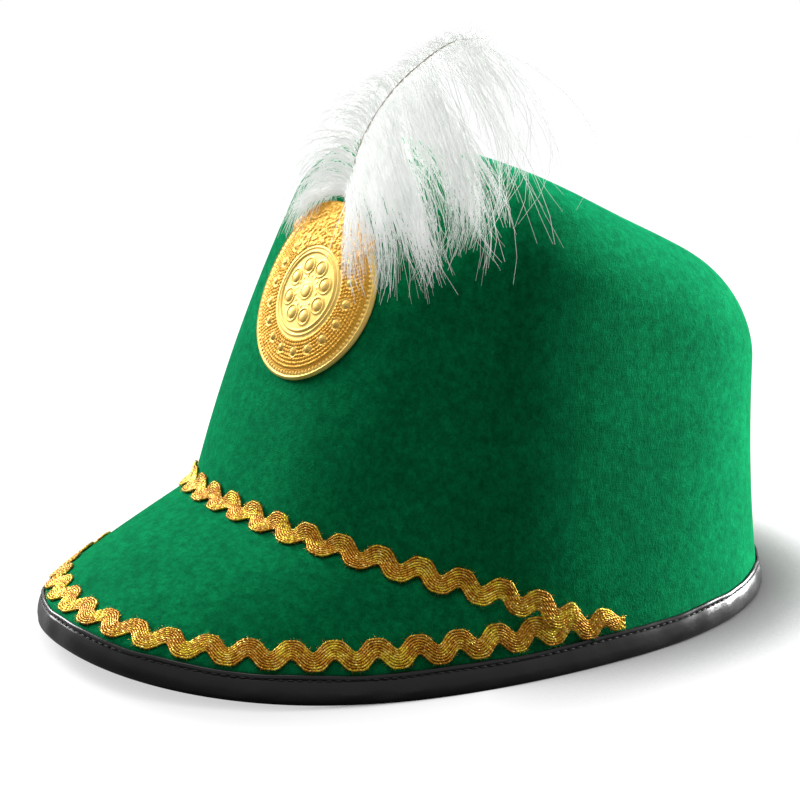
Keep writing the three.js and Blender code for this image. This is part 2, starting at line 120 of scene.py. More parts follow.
class ShakoBinding(bpy.types.PropertyGroup):
    """The vinyl strip that is folded over the felt's edge."""

    wall: length("Thickness", "Thickness of the strip", 0.001)
    gap: length("Gap", "Room between the strip and the felt", 0.0003)
    height: length("Height", "Height of the strip outside", 0.009)
    inner_height: length("Inner height", "Height of the strip inside", 0.007)
    groove: length("Groove", "How far the stitched groove sinks", 0.00045)
    stitch: length("Stitch pitch", "From one stitch to the next", 0.0029)


class ShakoBraid(bpy.types.PropertyGroup):
    """The wavy tape on the crease and along the peak's edge."""

    tape: length("Tape width", "Width between the outer threads", 0.0054)
    swing: length("Swing", "How far the tape swings to either side", 0.0019)
    wave: length("Wave length", "From one crest to the next", 0.013)
    thread: length("Thread radius", "Radius of one gold thread", 0.00042)
    threads: count("Threads", "Threads side by side", 8)
    seat: length("Seat", "Room between the tape's middle and the felt", 0.00085)
    lap: length("Lap", "How much the upper braid climbs over the lower one", 0.0014)
    lap_angle: turn("Lap angle", "Where the upper braid has climbed", 63)
    upper_half_angle: turn("Upper half angle", "Where the upper braid ends", 80)
    lower_half_angle: turn("Lower half angle", "Where the lower braid ends", 90)
    inset: length("Inset", "From the binding's top edge to the lower braid's middle", 0.0054)


class ShakoBadge(bpy.types.PropertyGroup):
    """The stamped badge."""

    height: length("Height", "Height of the badge's centre on the crown's front", 0.109)
    aside: length("Aside", "How far the badge sits towards the near side", 0.002)
    radius: length("Radius", "Radius of the badge", 0.0288)
    cap_radius: length("Cap radius", "Radius of the wider cap at its top", 0.0306)
    cap_half_angle: turn("Cap half angle", "Half the angle that the cap takes", 50)
    plate: length("Plate", "Height of the badge's edge over its seat", 0.0008)
    seat: length("Seat", "Room between the badge and the felt", 0.0005)
    stand_off: length("Stand off", "How much further the badge's top stands off the felt", 0.002)
    dome: length("Dome", "How much the badge's middle stands up", 0.0016)
    rosette: length("Rosette", "Radius of the ring of ringed beads", 0.0087)
    rosette_beads: count("Rosette beads", "Ringed beads round the middle one", 8)
    band: length("Band", "Radius of the band's row of larger beads", 0.0199)
    band_beads: count("Band beads", "Larger beads in the band", 18)


class ShakoFeather(bpy.types.PropertyGroup):
    """The ostrich feather."""

    length: length("Length", "The size that the feather's line and locks are drawn to", 0.086)
    quill: length("Quill radius", "Radius of the quill at its root", 0.00065)
    long_barbs: count("Long barbs", "Barbs that fall over the near side", 980)
    short_barbs: count("Short barbs", "Barbs on the far side of the quill", 560)
    down: count("Down", "Fine hairs that the barbs carry", 12500)
    barb: length("Barb radius", "Radius of one barb at its root", 0.00018)


class ShakoColours(bpy.types.PropertyGroup):
    """The finishes' main colours."""

    felt: colour("Felt", "Green of the felt", (0.0035, 0.35, 0.115))
    felt_deep: colour("Deep felt", "Green between the felt's fibres", (0.0012, 0.17, 0.053))
    vinyl: colour("Vinyl", "Black of the binding", (0.006, 0.006, 0.007))
    gold: colour("Gold thread", "Yellow of the braid", (0.8, 0.6, 0.035))
    copper: colour("Copper thread", "Orange of the braid's shaded threads", (0.5, 0.21, 0.01))
    metal: colour("Badge metal", "Pale gold of the badge", (0.94, 0.69, 0.2))
    # metal_deep is the colour of the painted shade in the badge's hollows and on its cap
    metal_deep: colour("Badge shade", "Orange gold in the badge's hollows", (0.72, 0.37, 0.035))
    feather: colour("Feather", "White of the barbs", (0.9, 0.905, 0.89))
    quill: colour("Quill", "Brown grey of the quill", (0.5, 0.43, 0.34))
    floor: colour("Floor", "Pale floor", (0.22, 0.22, 0.22))


class ShakoStage(bpy.types.PropertyGroup):
    """The camera and the lights."""

    azimuth: turn("Azimuth", "The camera's angle round the hat, from its front", 55)
    elevation: turn("Elevation", "The camera's angle over the floor", 15.413)
    distance: length("Distance", "From the camera to its target", 0.85)
    lens: ratio("Lens", "Focal length in millimetres", 112.81)
    key: ratio("Key light", "Power of the light at the front left", 19.0)
    rim: ratio("Rim light", "Power of the light behind, at the right", 37.0)
    top: ratio("Top light", "Power of the light above", 4.8)
    world: ratio("World light", "Strength of the white surroundings", 0.09)
    shine: ratio("Shine", "How much brighter the surroundings are in reflections", 0.5)


class ShakoSettings(bpy.types.PropertyGroup):
    """Everything that a user would change."""

    crown: PointerProperty(type=ShakoCrown)
    peak: PointerProperty(type=ShakoPeak)
    binding: PointerProperty(type=ShakoBinding)
    braid: PointerProperty(type=ShakoBraid)
    badge: PointerProperty(type=ShakoBadge)
    feather: PointerProperty(type=ShakoFeather)
    colours: PointerProperty(type=ShakoColours)
    stage: PointerProperty(type=ShakoStage)


# Chosen values that aren't sizes of the hat


UP = np.array([0, 0, 1.0])
TURN_STEP, LEVEL_STEP = math.radians(0.5), 0.02  # steps over which slopes of the form are taken
EVENNESS = 1.25  # how much angles crowd towards the ovals' corners
CORNER_STEP = math.radians(0.05)  # from the peak's end to the crown's own lower edge
PEAK_EDGE_ROWS = 7
PEAK_SIDE_ANGLE = math.radians(74)  # where the lower braid starts to stand upright
STITCH_DROP = 0.0016  # from the binding's top to its stitches
STEPS_PER_WAVE = 30.0
TWIST_PITCH = 0.0011
PROBE_LENGTH = 0.08  # how far ahead of the crown its depth is probed from
QUILL_CLEARANCE = 0.0017
EDGE_ROW = 0.0269  # radius of the badge's outermost row of beads
THREAD_SHEEN = (0.03, 0.028, 0.027, 1.0)
# painted glint and painted shade of the gold braid's threads
GOLD_PAINTED_GLINT, GOLD_PAINTED_GAP_SHADE = (1.0, 0.85, 0.25, 1.0), (0.16, 0.05, 0.005, 1.0)
BARB_SHADOW, QUILL_SHADOW = (0.62, 0.66, 0.64, 1.0), (0.3, 0.24, 0.17, 1.0)
FLOOR_GREY = (0.2, 0.2, 0.2, 1.0)
BARB_STOPS = ("leaving", "hanging", "tip")
BAND_ROWS = {
    "radius": (0.0167, 0.0178, 0.0189, 0.0201, 0.0213, 0.0225, 0.0237, 0.0249),
    "beads": (84, 90, 96, 100, 106, 112, 118, 124),
    "size": (0.00055, 0.00055, 0.00055, 0.00055, 0.00056, 0.00056, 0.00057, 0.00057),
}
TARGET = (-0.01356, 0.00789, 0.06312)  # what the camera and the lights point at
SHADOW_WAY = (0.574, 0.819, 0.0)  # across the picture to the right, where the contact shadow deepens
SOFTBOXES = {
    "name": ("key", "rim", "top"),
    "place": ((-1.08, -0.28, 0.55), (0.17, 1.2, 0.22), (-0.12, -0.3, 1.3)),
    "size": (0.5, 0.5, 0.8),
}


# The hat's form


def power(value, exponent):
    """A power that keeps the value's sign."""
    return np.sign(value) * np.abs(value) ** exponent


def unit(vectors):
    """The vectors at a length of one."""
    return vectors / np.linalg.norm(vectors, axis=-1, keepdims=True)


def smooth_step(value, low, high):
    """0 below low and 1 above high, with a smooth rise between them."""
    share = np.clip((value - low) / (high - low), 0, 1)
    return share * share * (3 - 2 * share)


def level_direction(angle):
    """Level unit vectors at angles from the front."""
    return np.stack([np.sin(angle), -np.cos(angle), 0 * angle], -1)


def oval(angle, half_width, front, back, roundness):
    """Points of an oval at angles from the front: +X at 90 degrees and the back at 180."""
    ahead = np.cos(angle)
    x = half_width * power(np.sin(angle), 2 / roundness)
    y = -np.where(ahead > 0, front, back) * power(ahead, 2 / roundness)
    return np.stack([x, y, 0 * x], -1)


class HatForm:
    """The felt's outer faces, worked out from the hat's sizes and counted from the side line."""

    def __init__(self, shako):
        self.crown, self.peak, self.binding = shako.crown, shako.peak, shako.binding
        self.shift = np.array([0.0, (shako.peak.reach - shako.crown.back_reach) / 2, 0.0])

    def crown_base(self, angle):
        """The crown's line on the surface."""
        c = self.crown
        return oval(angle, c.half_width, c.front_reach, c.back_reach, c.roundness)

    def top_corner(self, angle):
        """The edge of the sloping top, before it is rounded."""
        c = self.crown
        point = oval(angle, c.top_half_width, c.top_half_length, c.top_half_length, c.top_roundness)
        point[..., 2] = c.top_height - math.tan(c.top_slope) * point[..., 1]
        point[..., 1] += c.top_centre_back
        return point

    def bulge(self, angle):
        """How far the wall bows out."""
        ahead = np.cos(angle)
        along = np.where(ahead > 0, self.crown.front_bulge, self.crown.back_bulge)
        return along * ahead**2 + self.crown.side_bulge * np.sin(angle) ** 2

    def ruling(self, angle, share):
        """The line from the base to the top corner, bowed out, at a share of its length."""
        base, corner = self.crown_base(angle), self.top_corner(angle)
        bow = self.bulge(angle) * 4 * share * (1 - share)
        return base + (corner - base) * share[..., None] + level_direction(angle) * bow[..., None]

    def shoulder_share(self, angle):
        """The share of the ruling where the shoulder starts."""
        reach = np.linalg.norm(self.top_corner(angle) - self.crown_base(angle), axis=-1)
        return (reach - self.crown.shoulder) / reach

    def level_of(self, angle, height):
        """The crown's level at a height on its wall."""
        return height / self.top_corner(angle)[..., 2] / self.shoulder_share(angle)

    def crown_face(self, angle, level):
        """Levels 0 to 1 climb the wall, 1 to 2 turn the shoulder and 2 to 3 cross the top."""
        c = self.crown
        angle, level = np.broadcast_arrays(np.asarray(angle, float), np.asarray(level, float))
        corner = self.top_corner(angle)
        up = unit(corner - self.crown_base(angle))
        inward = np.array([0, c.top_centre_back, c.top_height]) - corner
        span = np.linalg.norm(inward, axis=-1)
        inward = inward / span[..., None]
        start = self.shoulder_share(angle)
        wall = self.ruling(angle, np.minimum(level, 1) * start)
        bend = np.clip(level - 1, 0, 1) * math.pi / 2
        bow = self.bulge(angle) * 4 * start * (1 - start) * (1 - np.sin(bend))
        shoulder = corner - up * (c.shoulder * (1 - np.sin(bend)))[..., None]
        shoulder = shoulder + inward * (c.shoulder * (1 - np.cos(bend)))[..., None]
        shoulder = shoulder + level_direction(angle) * bow[..., None]
        across = np.clip(level - 2, 0, 1)
        top = corner + inward * (c.shoulder + (span - c.shoulder) * across)[..., None]
        top[..., 2] += c.top_dome * (1 - (1 - across) ** 2)
        level = level[..., None]
        return np.where(level <= 1, wall, np.where(level <= 2, shoulder, top))

    def crease_height(self, angle):
        """The height of the crease between crown and peak."""
        p = self.peak
        ahead = np.maximum(0, np.cos(angle * math.pi / 2 / p.crease_half_angle))
        return p.crease_side + (p.crease_front - p.crease_side) * ahead**p.crease_fall

    def crease(self, angle):
        """The crease between crown and peak."""
        return self.ruling(angle, self.crease_height(angle) / self.top_corner(angle)[..., 2])

    def rim_plan(self, angle):
        """The rim's line on the surface: the peak's at the front, the crown's at the back."""
        p = self.peak
        front = oval(angle, self.crown.half_width, p.reach, p.reach, p.roundness)
        return np.where(np.cos(angle)[..., None] > 0, front, self.crown_base(angle))

    def rim_face(self, angle, height):
        """The felt's outer face near the rim, which leans as the crown's wall does."""
        angle, height = np.broadcast_arrays(np.asarray(angle, float), np.asarray(height, float))
        lean = self.ruling(angle, height / self.top_corner(angle)[..., 2]) - self.crown_base(angle)
        point = self.rim_plan(angle) + lean
        point[..., 2] = height + self.peak.lift * np.maximum(0, np.cos(angle)) ** 4
        return point

    def rim_normal(self, angle):
        """The rim's outward direction in plan."""
        along = self.rim_plan(angle + TURN_STEP) - self.rim_plan(angle - TURN_STEP)
        return unit(np.stack([along[..., 1], -along[..., 0], 0 * angle], -1))

    def peak_face(self, angle, level):
        """Levels 0 to 1 climb the edge inside the binding, and 1 to 2 the slope to the crease."""
        angle, level = np.broadcast_arrays(np.asarray(angle, float), np.asarray(level, float))
        b = self.binding
        foot = b.wall + b.gap
        low = self.rim_face(angle, foot + (b.height - foot) * np.clip(level, 0, 1))
        edge, crease = self.rim_face(angle, b.height), self.crease(angle)
        across = np.clip(level - 1, 0, 1)
        slope = edge + (crease - edge) * across[..., None]
        slope[..., 2] = edge[..., 2] + (crease[..., 2] - edge[..., 2]) * across**self.peak.roll
        return np.where(level[..., None] <= 1, low, slope)


def face_normal(face, angle, level):
    """The outward normal of one of the form's faces."""
    along = face(angle + TURN_STEP, level) - face(angle - TURN_STEP, level)
    up = face(angle, level + LEVEL_STEP) - face(angle, level - LEVEL_STEP)
    return unit(np.cross(along, up))


def even_angles(low, high, columns):
    """Angles round the squarish ovals whose points lie about evenly."""
    step = np.linspace(low, high, columns)
    return np.arctan2(power(np.sin(step), EVENNESS), power(np.cos(step), EVENNESS))


# Meshes


def put(name, data):
    """A new object in the scene."""
    obj = bpy.data.objects.new(name, data)
    bpy.context.scene.collection.objects.link(obj)
    return obj


def new_object(name, points, faces, form):
    """An object of points counted from the side line, placed in the frame by its mesh."""
    mesh = bpy.data.meshes.new(name)
    mesh.from_pydata((points + form.shift).tolist(), [], faces)
    mesh.update()
    return put(name, mesh)


def carry(mesh, facts):
    """Gives the mesh facts, vectors or numbers, one for each point."""
    for label, values in facts.items():
        values = np.asarray(values, np.float32)
        kind, key = ("FLOAT_VECTOR", "vector") if values.ndim == 2 else ("FLOAT", "value")
        mesh.attributes.new(label, kind, "POINT").data.foreach_set(key, values.ravel())


def shade(obj, degrees):
    """Smooth shading, with edges sharper than the angle kept."""
    obj.data.shade_smooth()
    obj.data.set_sharp_from_angle(angle=math.radians(degrees))


def finish_piece(obj, finish, slot, *nodes):
    """The piece gets its finish, rides on the body and stands for its nodes."""
    if finish is not None:
        obj.data.materials.clear()
        obj.data.materials.append(finish)
    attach(obj, BODY)
    if nodes:
        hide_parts(*nodes)
    return obj


def strip_faces(rows, columns, closed_rows, closed_columns, offset=0):
    """Quads over a grid of points, with rows and columns closed where asked."""
    r = np.arange(rows if closed_rows else rows - 1)
    c = np.arange(columns if closed_columns else columns - 1)
    r, c = np.meshgrid(r, c, indexing="ij")
    r2, c2 = (r + 1) % rows, (c + 1) % columns
    quads = np.stack([r * columns + c, r * columns + c2, r2 * columns + c2, r2 * columns + c], -1)
    return quads.reshape(-1, 4) + offset


def felt_shell(name, grid, wall, closed, level_rows, form, apex=None):
    """A felt wall from a grid of points on its outer face, rows going up."""
    rows, columns, _ = grid.shape
    if closed:
        along = np.roll(grid, -1, 1) - np.roll(grid, 1, 1)
    else:
        along = np.gradient(grid, axis=1)
    normal = np.cross(along, np.gradient(grid, axis=0))
    normal[:level_rows, :, 2] = 0
    inner = grid - wall * unit(normal)
    points = [grid.reshape(-1, 3), inner.reshape(-1, 3)]
    size = rows * columns
    outside = strip_faces(rows, columns, False, closed)
    inside = strip_faces(rows, columns, False, closed, size)[:, ::-1]
    c = np.arange(columns if closed else columns - 1)
    n = (c + 1) % columns
    top = size - columns
    faces = [outside, inside, np.stack([c, c + size, n + size, n], -1)]
    tips = []
    if apex is None:
        faces.append(np.stack([top + c, top + n, top + n + size, top + c + size], -1))
    else:
        points.append(np.array([apex, apex - [0, 0, wall]]))
        tips = [(top + a, top + b, 2 * size) for a, b in zip(c, n)]
        tips += [(size + top + b, size + top + a, 2 * size + 1) for a, b in zip(c, n)]
    if not closed:
        low = np.arange(rows - 1) * columns
        high = low + columns
        faces.append(np.stack([low, high, high + size, low + size], -1))
        low, high = low + columns - 1, high + columns - 1
        faces.append(np.stack([low, low + size, high + size, high], -1))
    faces = np.concatenate(faces).tolist() + tips
    return new_object(name, np.concatenate(points), faces, form)


# Node trees


def spaced(values):
    """The same values under names with spaces for underscores."""
    return {key.replace("_", " "): value for key, value in values.items()}


class NodeBench:
    """Adds nodes to a tree, sets their values and joins them."""

    def __init__(self, tree):
        self.tree = tree

    def add(self, kind, settings=None, inputs=None):
        """A node of that kind, with its settings, and each input fed by a value or a socket."""
        made = self.tree.nodes.new(kind)
        row, place = divmod(len(self.tree.nodes), 10)
        made.location = (200 * place, -240 * row)
        for key, value in (settings or {}).items():
            setattr(made, key, value)
        for key, value in (inputs or {}).items():
            self.feed(made.inputs[key], value)
        return made

    def feed(self, socket, value):
        """Joins a socket to the input, or sets the input's own value."""
        if isinstance(value, bpy.types.NodeSocket):
            self.tree.links.new(value, socket)
        elif value is not None:
            socket.default_value = value

    def geo(self, kind, output, settings=None, **inputs):
        """One output of a new geometry node."""
        return self.add("GeometryNode" + kind, settings, spaced(inputs)).outputs[output]

    def shader(self, kind, output, settings=None, **inputs):
        """One output of a new shader node."""
        return self.add("ShaderNode" + kind, settings, spaced(inputs)).outputs[output]

    def math(self, operation, first, second=None, third=None):
        """One sum on numbers."""
        terms = {0: first, 1: second, 2: third}
        return self.add("ShaderNodeMath", {"operation": operation}, terms).outputs[0]

    def product(self, first, *others):
        """Numbers multiplied."""
        for other in others:
            first = self.math("MULTIPLY", first, other)
        return first

    def vector(self, operation, first, second=None, scale=None):
        """One sum on vectors."""
        made = self.add("ShaderNodeVectorMath", {"operation": operation}, {0: first, 1: second})
        if scale is not None:
            self.feed(made.inputs["Scale"], scale)
        return made.outputs["Vector"]

    def weighted(self, vectors, shares):
        """The sum of vectors, each scaled by its share."""
        parts = [self.vector("SCALE", vector, scale=share) for vector, share in zip(vectors, shares)]
        total = parts[0]
        for part in parts[1:]:
            total = self.vector("ADD", total, part)
        return total

    def span(self, value, low, high, to_low=0.0, to_high=1.0):
        """The value brought from one span to another, and kept inside it."""
        inputs = {"Value": value, 1: low, 2: high, 3: to_low, 4: to_high}
        return self.add("ShaderNodeMapRange", {"clamp": True}, inputs).outputs["Result"]

    def blend(self, factor, first, second, kind="MIX"):
        """Two colours blended."""
        settings = {"data_type": "RGBA", "blend_type": kind}
        return self.add("ShaderNodeMix", settings, {0: factor, 6: first, 7: second}).outputs[2]

    def named(self, name, kind="FLOAT"):
        """A named attribute of the geometry."""
        return self.geo("InputNamedAttribute", "Attribute", {"data_type": kind}, Name=name)

    def store(self, geometry, name, value, kind="FLOAT"):
        """The geometry, with a value kept on each of its points."""
        settings = {"data_type": kind, "domain": "POINT"}
        facts = {"Geometry": geometry, "Name": name, "Value": value}
        return self.geo("StoreNamedAttribute", "Geometry", settings, **facts)


def new_tree(name, numbers, counts=()):
    """A geometry tree with those inputs and a material. Returns its bench and its inputs."""
    tree = bpy.data.node_groups.new(name, "GeometryNodeTree")
    tree.interface.new_socket("Geometry", in_out="OUTPUT", socket_type="NodeSocketGeometry")
    inputs = [("Geometry", "Geometry"), *((label, "Float") for label in numbers)]
    inputs += [*((label, "Int") for label in counts), ("Material", "Material")]
    for label, kind in inputs:
        tree.interface.new_socket(label, in_out="INPUT", socket_type="NodeSocket" + kind)
    bench = NodeBench(tree)
    return bench, bench.add("NodeGroupInput").outputs


def close_tree(bench, given, geometry):
    """Ends a geometry tree with all of it real, smooth and in its material."""
    real = bench.geo("RealizeInstances", "Geometry", Geometry=geometry)
    smooth = bench.add("GeometryNodeSetShadeSmooth", inputs={0: real}).outputs[0]
    last = bench.geo("SetMaterial", "Geometry", Geometry=smooth, Material=given["Material"])
    bench.feed(bench.add("NodeGroupOutput").inputs["Geometry"], last)
    return bench.tree


def grow(name, guide, tree, values):
    """Runs a tree on a guide and keeps the result as a plain mesh object."""
    modifier = guide.modifiers.new(name, "NODES")
    modifier.node_group = tree
    for item in tree.interface.items_tree:
        if item.item_type == "SOCKET" and item.in_out == "INPUT" and item.name in values:
            modifier[item.identifier] = values[item.name]
    depsgraph = bpy.context.evaluated_depsgraph_get()
    depsgraph.update()
    mesh = bpy.data.meshes.new_from_object(guide.evaluated_get(depsgraph), depsgraph=depsgraph)
    mesh.name = name
    guide.modifiers.remove(modifier)
    bpy.data.objects.remove(guide)
    if not mesh.polygons:
        raise RuntimeError(f"{name}: its node tree made no faces")
    return put(name, mesh)


def guide_line(name, points, form, facts, closed=False):
    """A line of points that carries facts for a node tree."""
    mesh = bpy.data.meshes.new(name)
    last = len(points) if closed else len(points) - 1
    edges = [(i, (i + 1) % len(points)) for i in range(last)]
    mesh.from_pydata((points + form.shift).tolist(), edges, [])
    carry(mesh, facts)
    return put(name, mesh)


def braid_tree():
    """Threads that run side by side along a guide in waves, with a fuzz along the outer two."""
    lengths = ("Wave Length", "Swing", "Tape Width", "Thread Radius", "Crease Bend")
    lengths += ("Fuzz Pitch", "Fuzz Length")
    bench, given = new_tree("Wavy Braid", lengths, ("Threads", "Seed"))
    calc, product, geo = bench.math, bench.product, bench.geo
    line = geo("MeshToCurve", "Curve", Mesh=given["Geometry"])
    pitch = calc("DIVIDE", given["Wave Length"], STEPS_PER_WAVE)
    line = geo("ResampleCurve", "Curve", {"mode": "LENGTH"}, Curve=line, Length=pitch)
    inputs = {"Geometry": line, "Amount": given["Threads"]}
    copies = bench.add("GeometryNodeDuplicateElements", {"domain": "SPLINE"}, inputs).outputs
    index = copies["Duplicate Index"]
    share = calc("SUBTRACT", calc("DIVIDE", index, calc("SUBTRACT", given["Threads"], 1.0)), 0.5)
    run = geo("SplineParameter", "Length")
    beat = calc("DIVIDE", math.tau, given["Wave Length"])
    phase = product(run, beat)
    slope = product(given["Swing"], beat, calc("COSINE", phase))
    stretch = calc("SQRT", calc("MULTIPLY_ADD", slope, slope, 1.0))
    aside = product(share, given["Tape Width"], stretch)
    off = calc("MULTIPLY_ADD", given["Swing"], calc("SINE", phase), aside)
    off = product(off, bench.named("splay"))
    bend = given["Crease Bend"]
    root = calc("SQRT", calc("ADD", product(off, off), product(bend, bend)))
    above, below = (product(calc(kind, root, off), 0.5) for kind in ("ADD", "SUBTRACT"))
    weave = calc("SINE", calc("MULTIPLY_ADD", phase, 9.0, product(index, 2.1)))
    arch = calc("SUBTRACT", 0.25, product(share, share))
    lift = product(given["Thread Radius"], calc("MULTIPLY_ADD", weave, 0.28, product(arch, 2.4)))
    ways = [bench.named(label, "FLOAT_VECTOR") for label in ("uphill", "downhill", "outward")]
    move = bench.weighted(ways, (above, below, lift))
    laid = geo("SetPosition", "Geometry", Geometry=copies["Geometry"], Offset=move)
    laid = bench.store(bench.store(laid, "share", share), "run", run)
    ring = geo("CurvePrimitiveCircle", "Curve", Resolution=6, Radius=given["Thread Radius"])
    tape = geo("CurveToMesh", "Mesh", Curve=laid, Profile_Curve=ring, Fill_Caps=True)
    outer = calc("GREATER_THAN", calc("ABSOLUTE", bench.named("share")), 0.49)
    edge = geo("SeparateGeometry", "Selection", {"domain": "CURVE"}, Geometry=laid, Selection=outer)
    dots = geo("CurveToPoints", "Points", {"mode": "LENGTH"}, Curve=edge, Length=given["Fuzz Pitch"])
    thin = product(given["Thread Radius"], 0.18)
    hair = geo("MeshCone", "Mesh", Vertices=3, Radius_Top=0.0, Radius_Bottom=thin, Depth=given["Fuzz Length"])
    inputs = {"Min": (-3.1, -3.1, -3.1), "Max": (3.1, 3.1, 3.1), "Seed": given["Seed"]}
    spin = bench.add("FunctionNodeRandomValue", {"data_type": "FLOAT_VECTOR"}, inputs).outputs["Value"]
    inputs = {2: 0.35, 3: 1.0, "Seed": given["Seed"]}
    size = bench.add("FunctionNodeRandomValue", {"data_type": "FLOAT"}, inputs).outputs[1]
    fuzz = geo("InstanceOnPoints", "Instances", Points=dots, Instance=hair, Rotation=spin, Scale=size)
    joined = bench.add("GeometryNodeJoinGeometry")
    for part in (tape, fuzz):
        bench.feed(joined.inputs["Geometry"], part)
    return close_tree(bench, given, joined.outputs["Geometry"])


def stitch_tree():
    """Short stitches that follow a guide end to end."""
    bench, given = new_tree("Stitch Row", ("Pitch", "Stitch Length", "Thread Radius"))
    line = bench.geo("MeshToCurve", "Curve", Mesh=given["Geometry"])
    inputs = {"Curve": line, "Length": given["Pitch"]}
    dots = bench.add("GeometryNodeCurveToPoints", {"mode": "LENGTH"}, inputs).outputs
    bead = bench.geo("MeshUVSphere", "Mesh", Segments=8, Rings=6, Radius=0.5)
    across = bench.product(given["Thread Radius"], 2.0)
    size = bench.shader("CombineXYZ", "Vector", X=across, Y=across, Z=given["Stitch Length"])
    placed = {"Points": dots["Points"], "Instance": bead, "Rotation": dots["Rotation"], "Scale": size}
    return close_tree(bench, given, bench.geo("InstanceOnPoints", "Instances", **placed))


def barb_tree():
    """Tapering barbs, one from each point, bent towards the three points that it carries."""
    bench, given = new_tree("Feather Barbs", ("Radius", "Tip Share", "Flutter"), ("Steps",))
    calc, vec, product, geo = bench.math, bench.vector, bench.product, bench.geo
    dots = geo("MeshToPoints", "Points", Mesh=given["Geometry"])
    dots = bench.store(dots, "barb", geo("InputIndex", "Index"), "INT")
    inputs = {"Geometry": dots, "Amount": given["Steps"]}
    copies = bench.add("GeometryNodeDuplicateElements", {"domain": "POINT"}, inputs).outputs
    along = calc("DIVIDE", copies["Duplicate Index"], calc("SUBTRACT", given["Steps"], 1.0))
    left = calc("SUBTRACT", 1.0, along)
    shares = (
        calc("POWER", left, 3.0),
        product(product(left, left), product(along, 3.0)),
        product(product(along, along), product(left, 3.0)),
        calc("POWER", along, 3.0),
    )
    stops = [geo("InputPosition", "Position"), *(bench.named(label, "FLOAT_VECTOR") for label in BARB_STOPS)]
    place = bench.weighted(stops, shares)
    barb = bench.named("barb", "INT")
    seat = bench.weighted((place, (0.37, 0.61, 0.83)), (110.0, barb))
    noise = bench.shader("TexNoise", "Color", Vector=seat, Scale=1.0, Detail=1.0)
    wander = vec("SUBTRACT", noise, (0.5, 0.5, 0.5))
    wander = vec("SCALE", wander, scale=product(given["Flutter"], along))
    place = vec("ADD", place, wander)
    laid = bench.store(copies["Geometry"], "along", along)
    laid = geo("SetPosition", "Geometry", Geometry=laid, Position=place)
    curves = geo("PointsToCurves", 0, Points=laid, Curve_Group_ID=barb, Weight=bench.named("along"))
    taper = bench.span(bench.named("along"), 0.3, 1.0, 1.0, given["Tip Share"])
    width = product(given["Radius"], taper, bench.named("stout"))
    curves = geo("SetCurveRadius", "Curve", Curve=curves, Radius=width)
    ring = geo("CurvePrimitiveCircle", "Curve", Resolution=3, Radius=1.0)
    inputs = {"Curve": curves, "Profile Curve": ring, "Fill Caps": True}
    tube = bench.add("GeometryNodeCurveToMesh", inputs=inputs)
    if "Scale" in tube.inputs:
        bench.feed(tube.inputs["Scale"], geo("InputRadius", "Radius"))
    return close_tree(bench, given, tube.outputs["Mesh"])


# Finishes


def shader_group(name, outputs, **inputs):
    """A shader node group of numbers and vectors. Returns its bench, its inputs and its output node."""
    tree = bpy.data.node_groups.new(name, "ShaderNodeTree")
    tree.interface.new_socket("Vector", in_out="INPUT", socket_type="NodeSocketVector")
    for label, default in inputs.items():
        kind = "NodeSocketFloat" if isinstance(default, float) else "NodeSocketVector"
        tree.interface.new_socket(label, in_out="INPUT", socket_type=kind).default_value = default
    for label in outputs:
        tree.interface.new_socket(label, in_out="OUTPUT", socket_type="NodeSocketFloat")
    bench = NodeBench(tree)
    return bench, bench.add("NodeGroupInput").outputs, bench.add("NodeGroupOutput").inputs


def fibre_group():
    """Short fibres that lie along one direction: a tone and a height."""
    bench, given, made = shader_group("Fibre Nap", ("Tone", "Height"), Fineness=900.0, Lay=(1.0, 1.0, 0.25))
    placed = bench.vector("MULTIPLY", given["Vector"], given["Lay"])
    form = {"Vector": placed, "Detail": 3.0, "Roughness": 0.62, "Distortion": 0.3}
    fine = bench.shader("TexNoise", 0, Scale=given["Fineness"], **form)
    form = {"Vector": placed, "Detail": 2.0, "Roughness": 0.5, "Distortion": 0.5}
    broad = bench.shader("TexNoise", 0, Scale=bench.product(given["Fineness"], 0.33), **form)
    both = bench.math("ADD", bench.product(fine, 0.6), bench.product(broad, 0.4))
    bench.feed(made["Tone"], bench.span(both, 0.34, 0.66))
    bench.feed(made["Height"], both)
    return bench.tree


def mottle_group():
    """Soft cloudy patches between two values."""
    bench, given, made = shader_group("Soft Mottle", ("Tone",), Scale=40.0, Low=0.0, High=1.0)
    noise = bench.shader("TexNoise", 0, Vector=given["Vector"], Scale=given["Scale"], Detail=2.5)
    bench.feed(made["Tone"], bench.span(noise, 0.3, 0.7, given["Low"], given["High"]))
    return bench.tree


def pebble_group():
    """Small rounded pebbles: a height."""
    bench, given, made = shader_group("Pebbles", ("Height",), Scale=1500.0)
    place = {"Vector": given["Vector"], "Scale": given["Scale"]}
    away = bench.shader("TexVoronoi", "Distance", {"feature": "F1"}, **place)
    bench.feed(made["Height"], bench.span(away, 0.0, 0.6, 1.0, 0.0))
    return bench.tree


GROUP_MAKERS = {"fibre": fibre_group, "mottle": mottle_group, "pebble": pebble_group}
GROUPS = {}


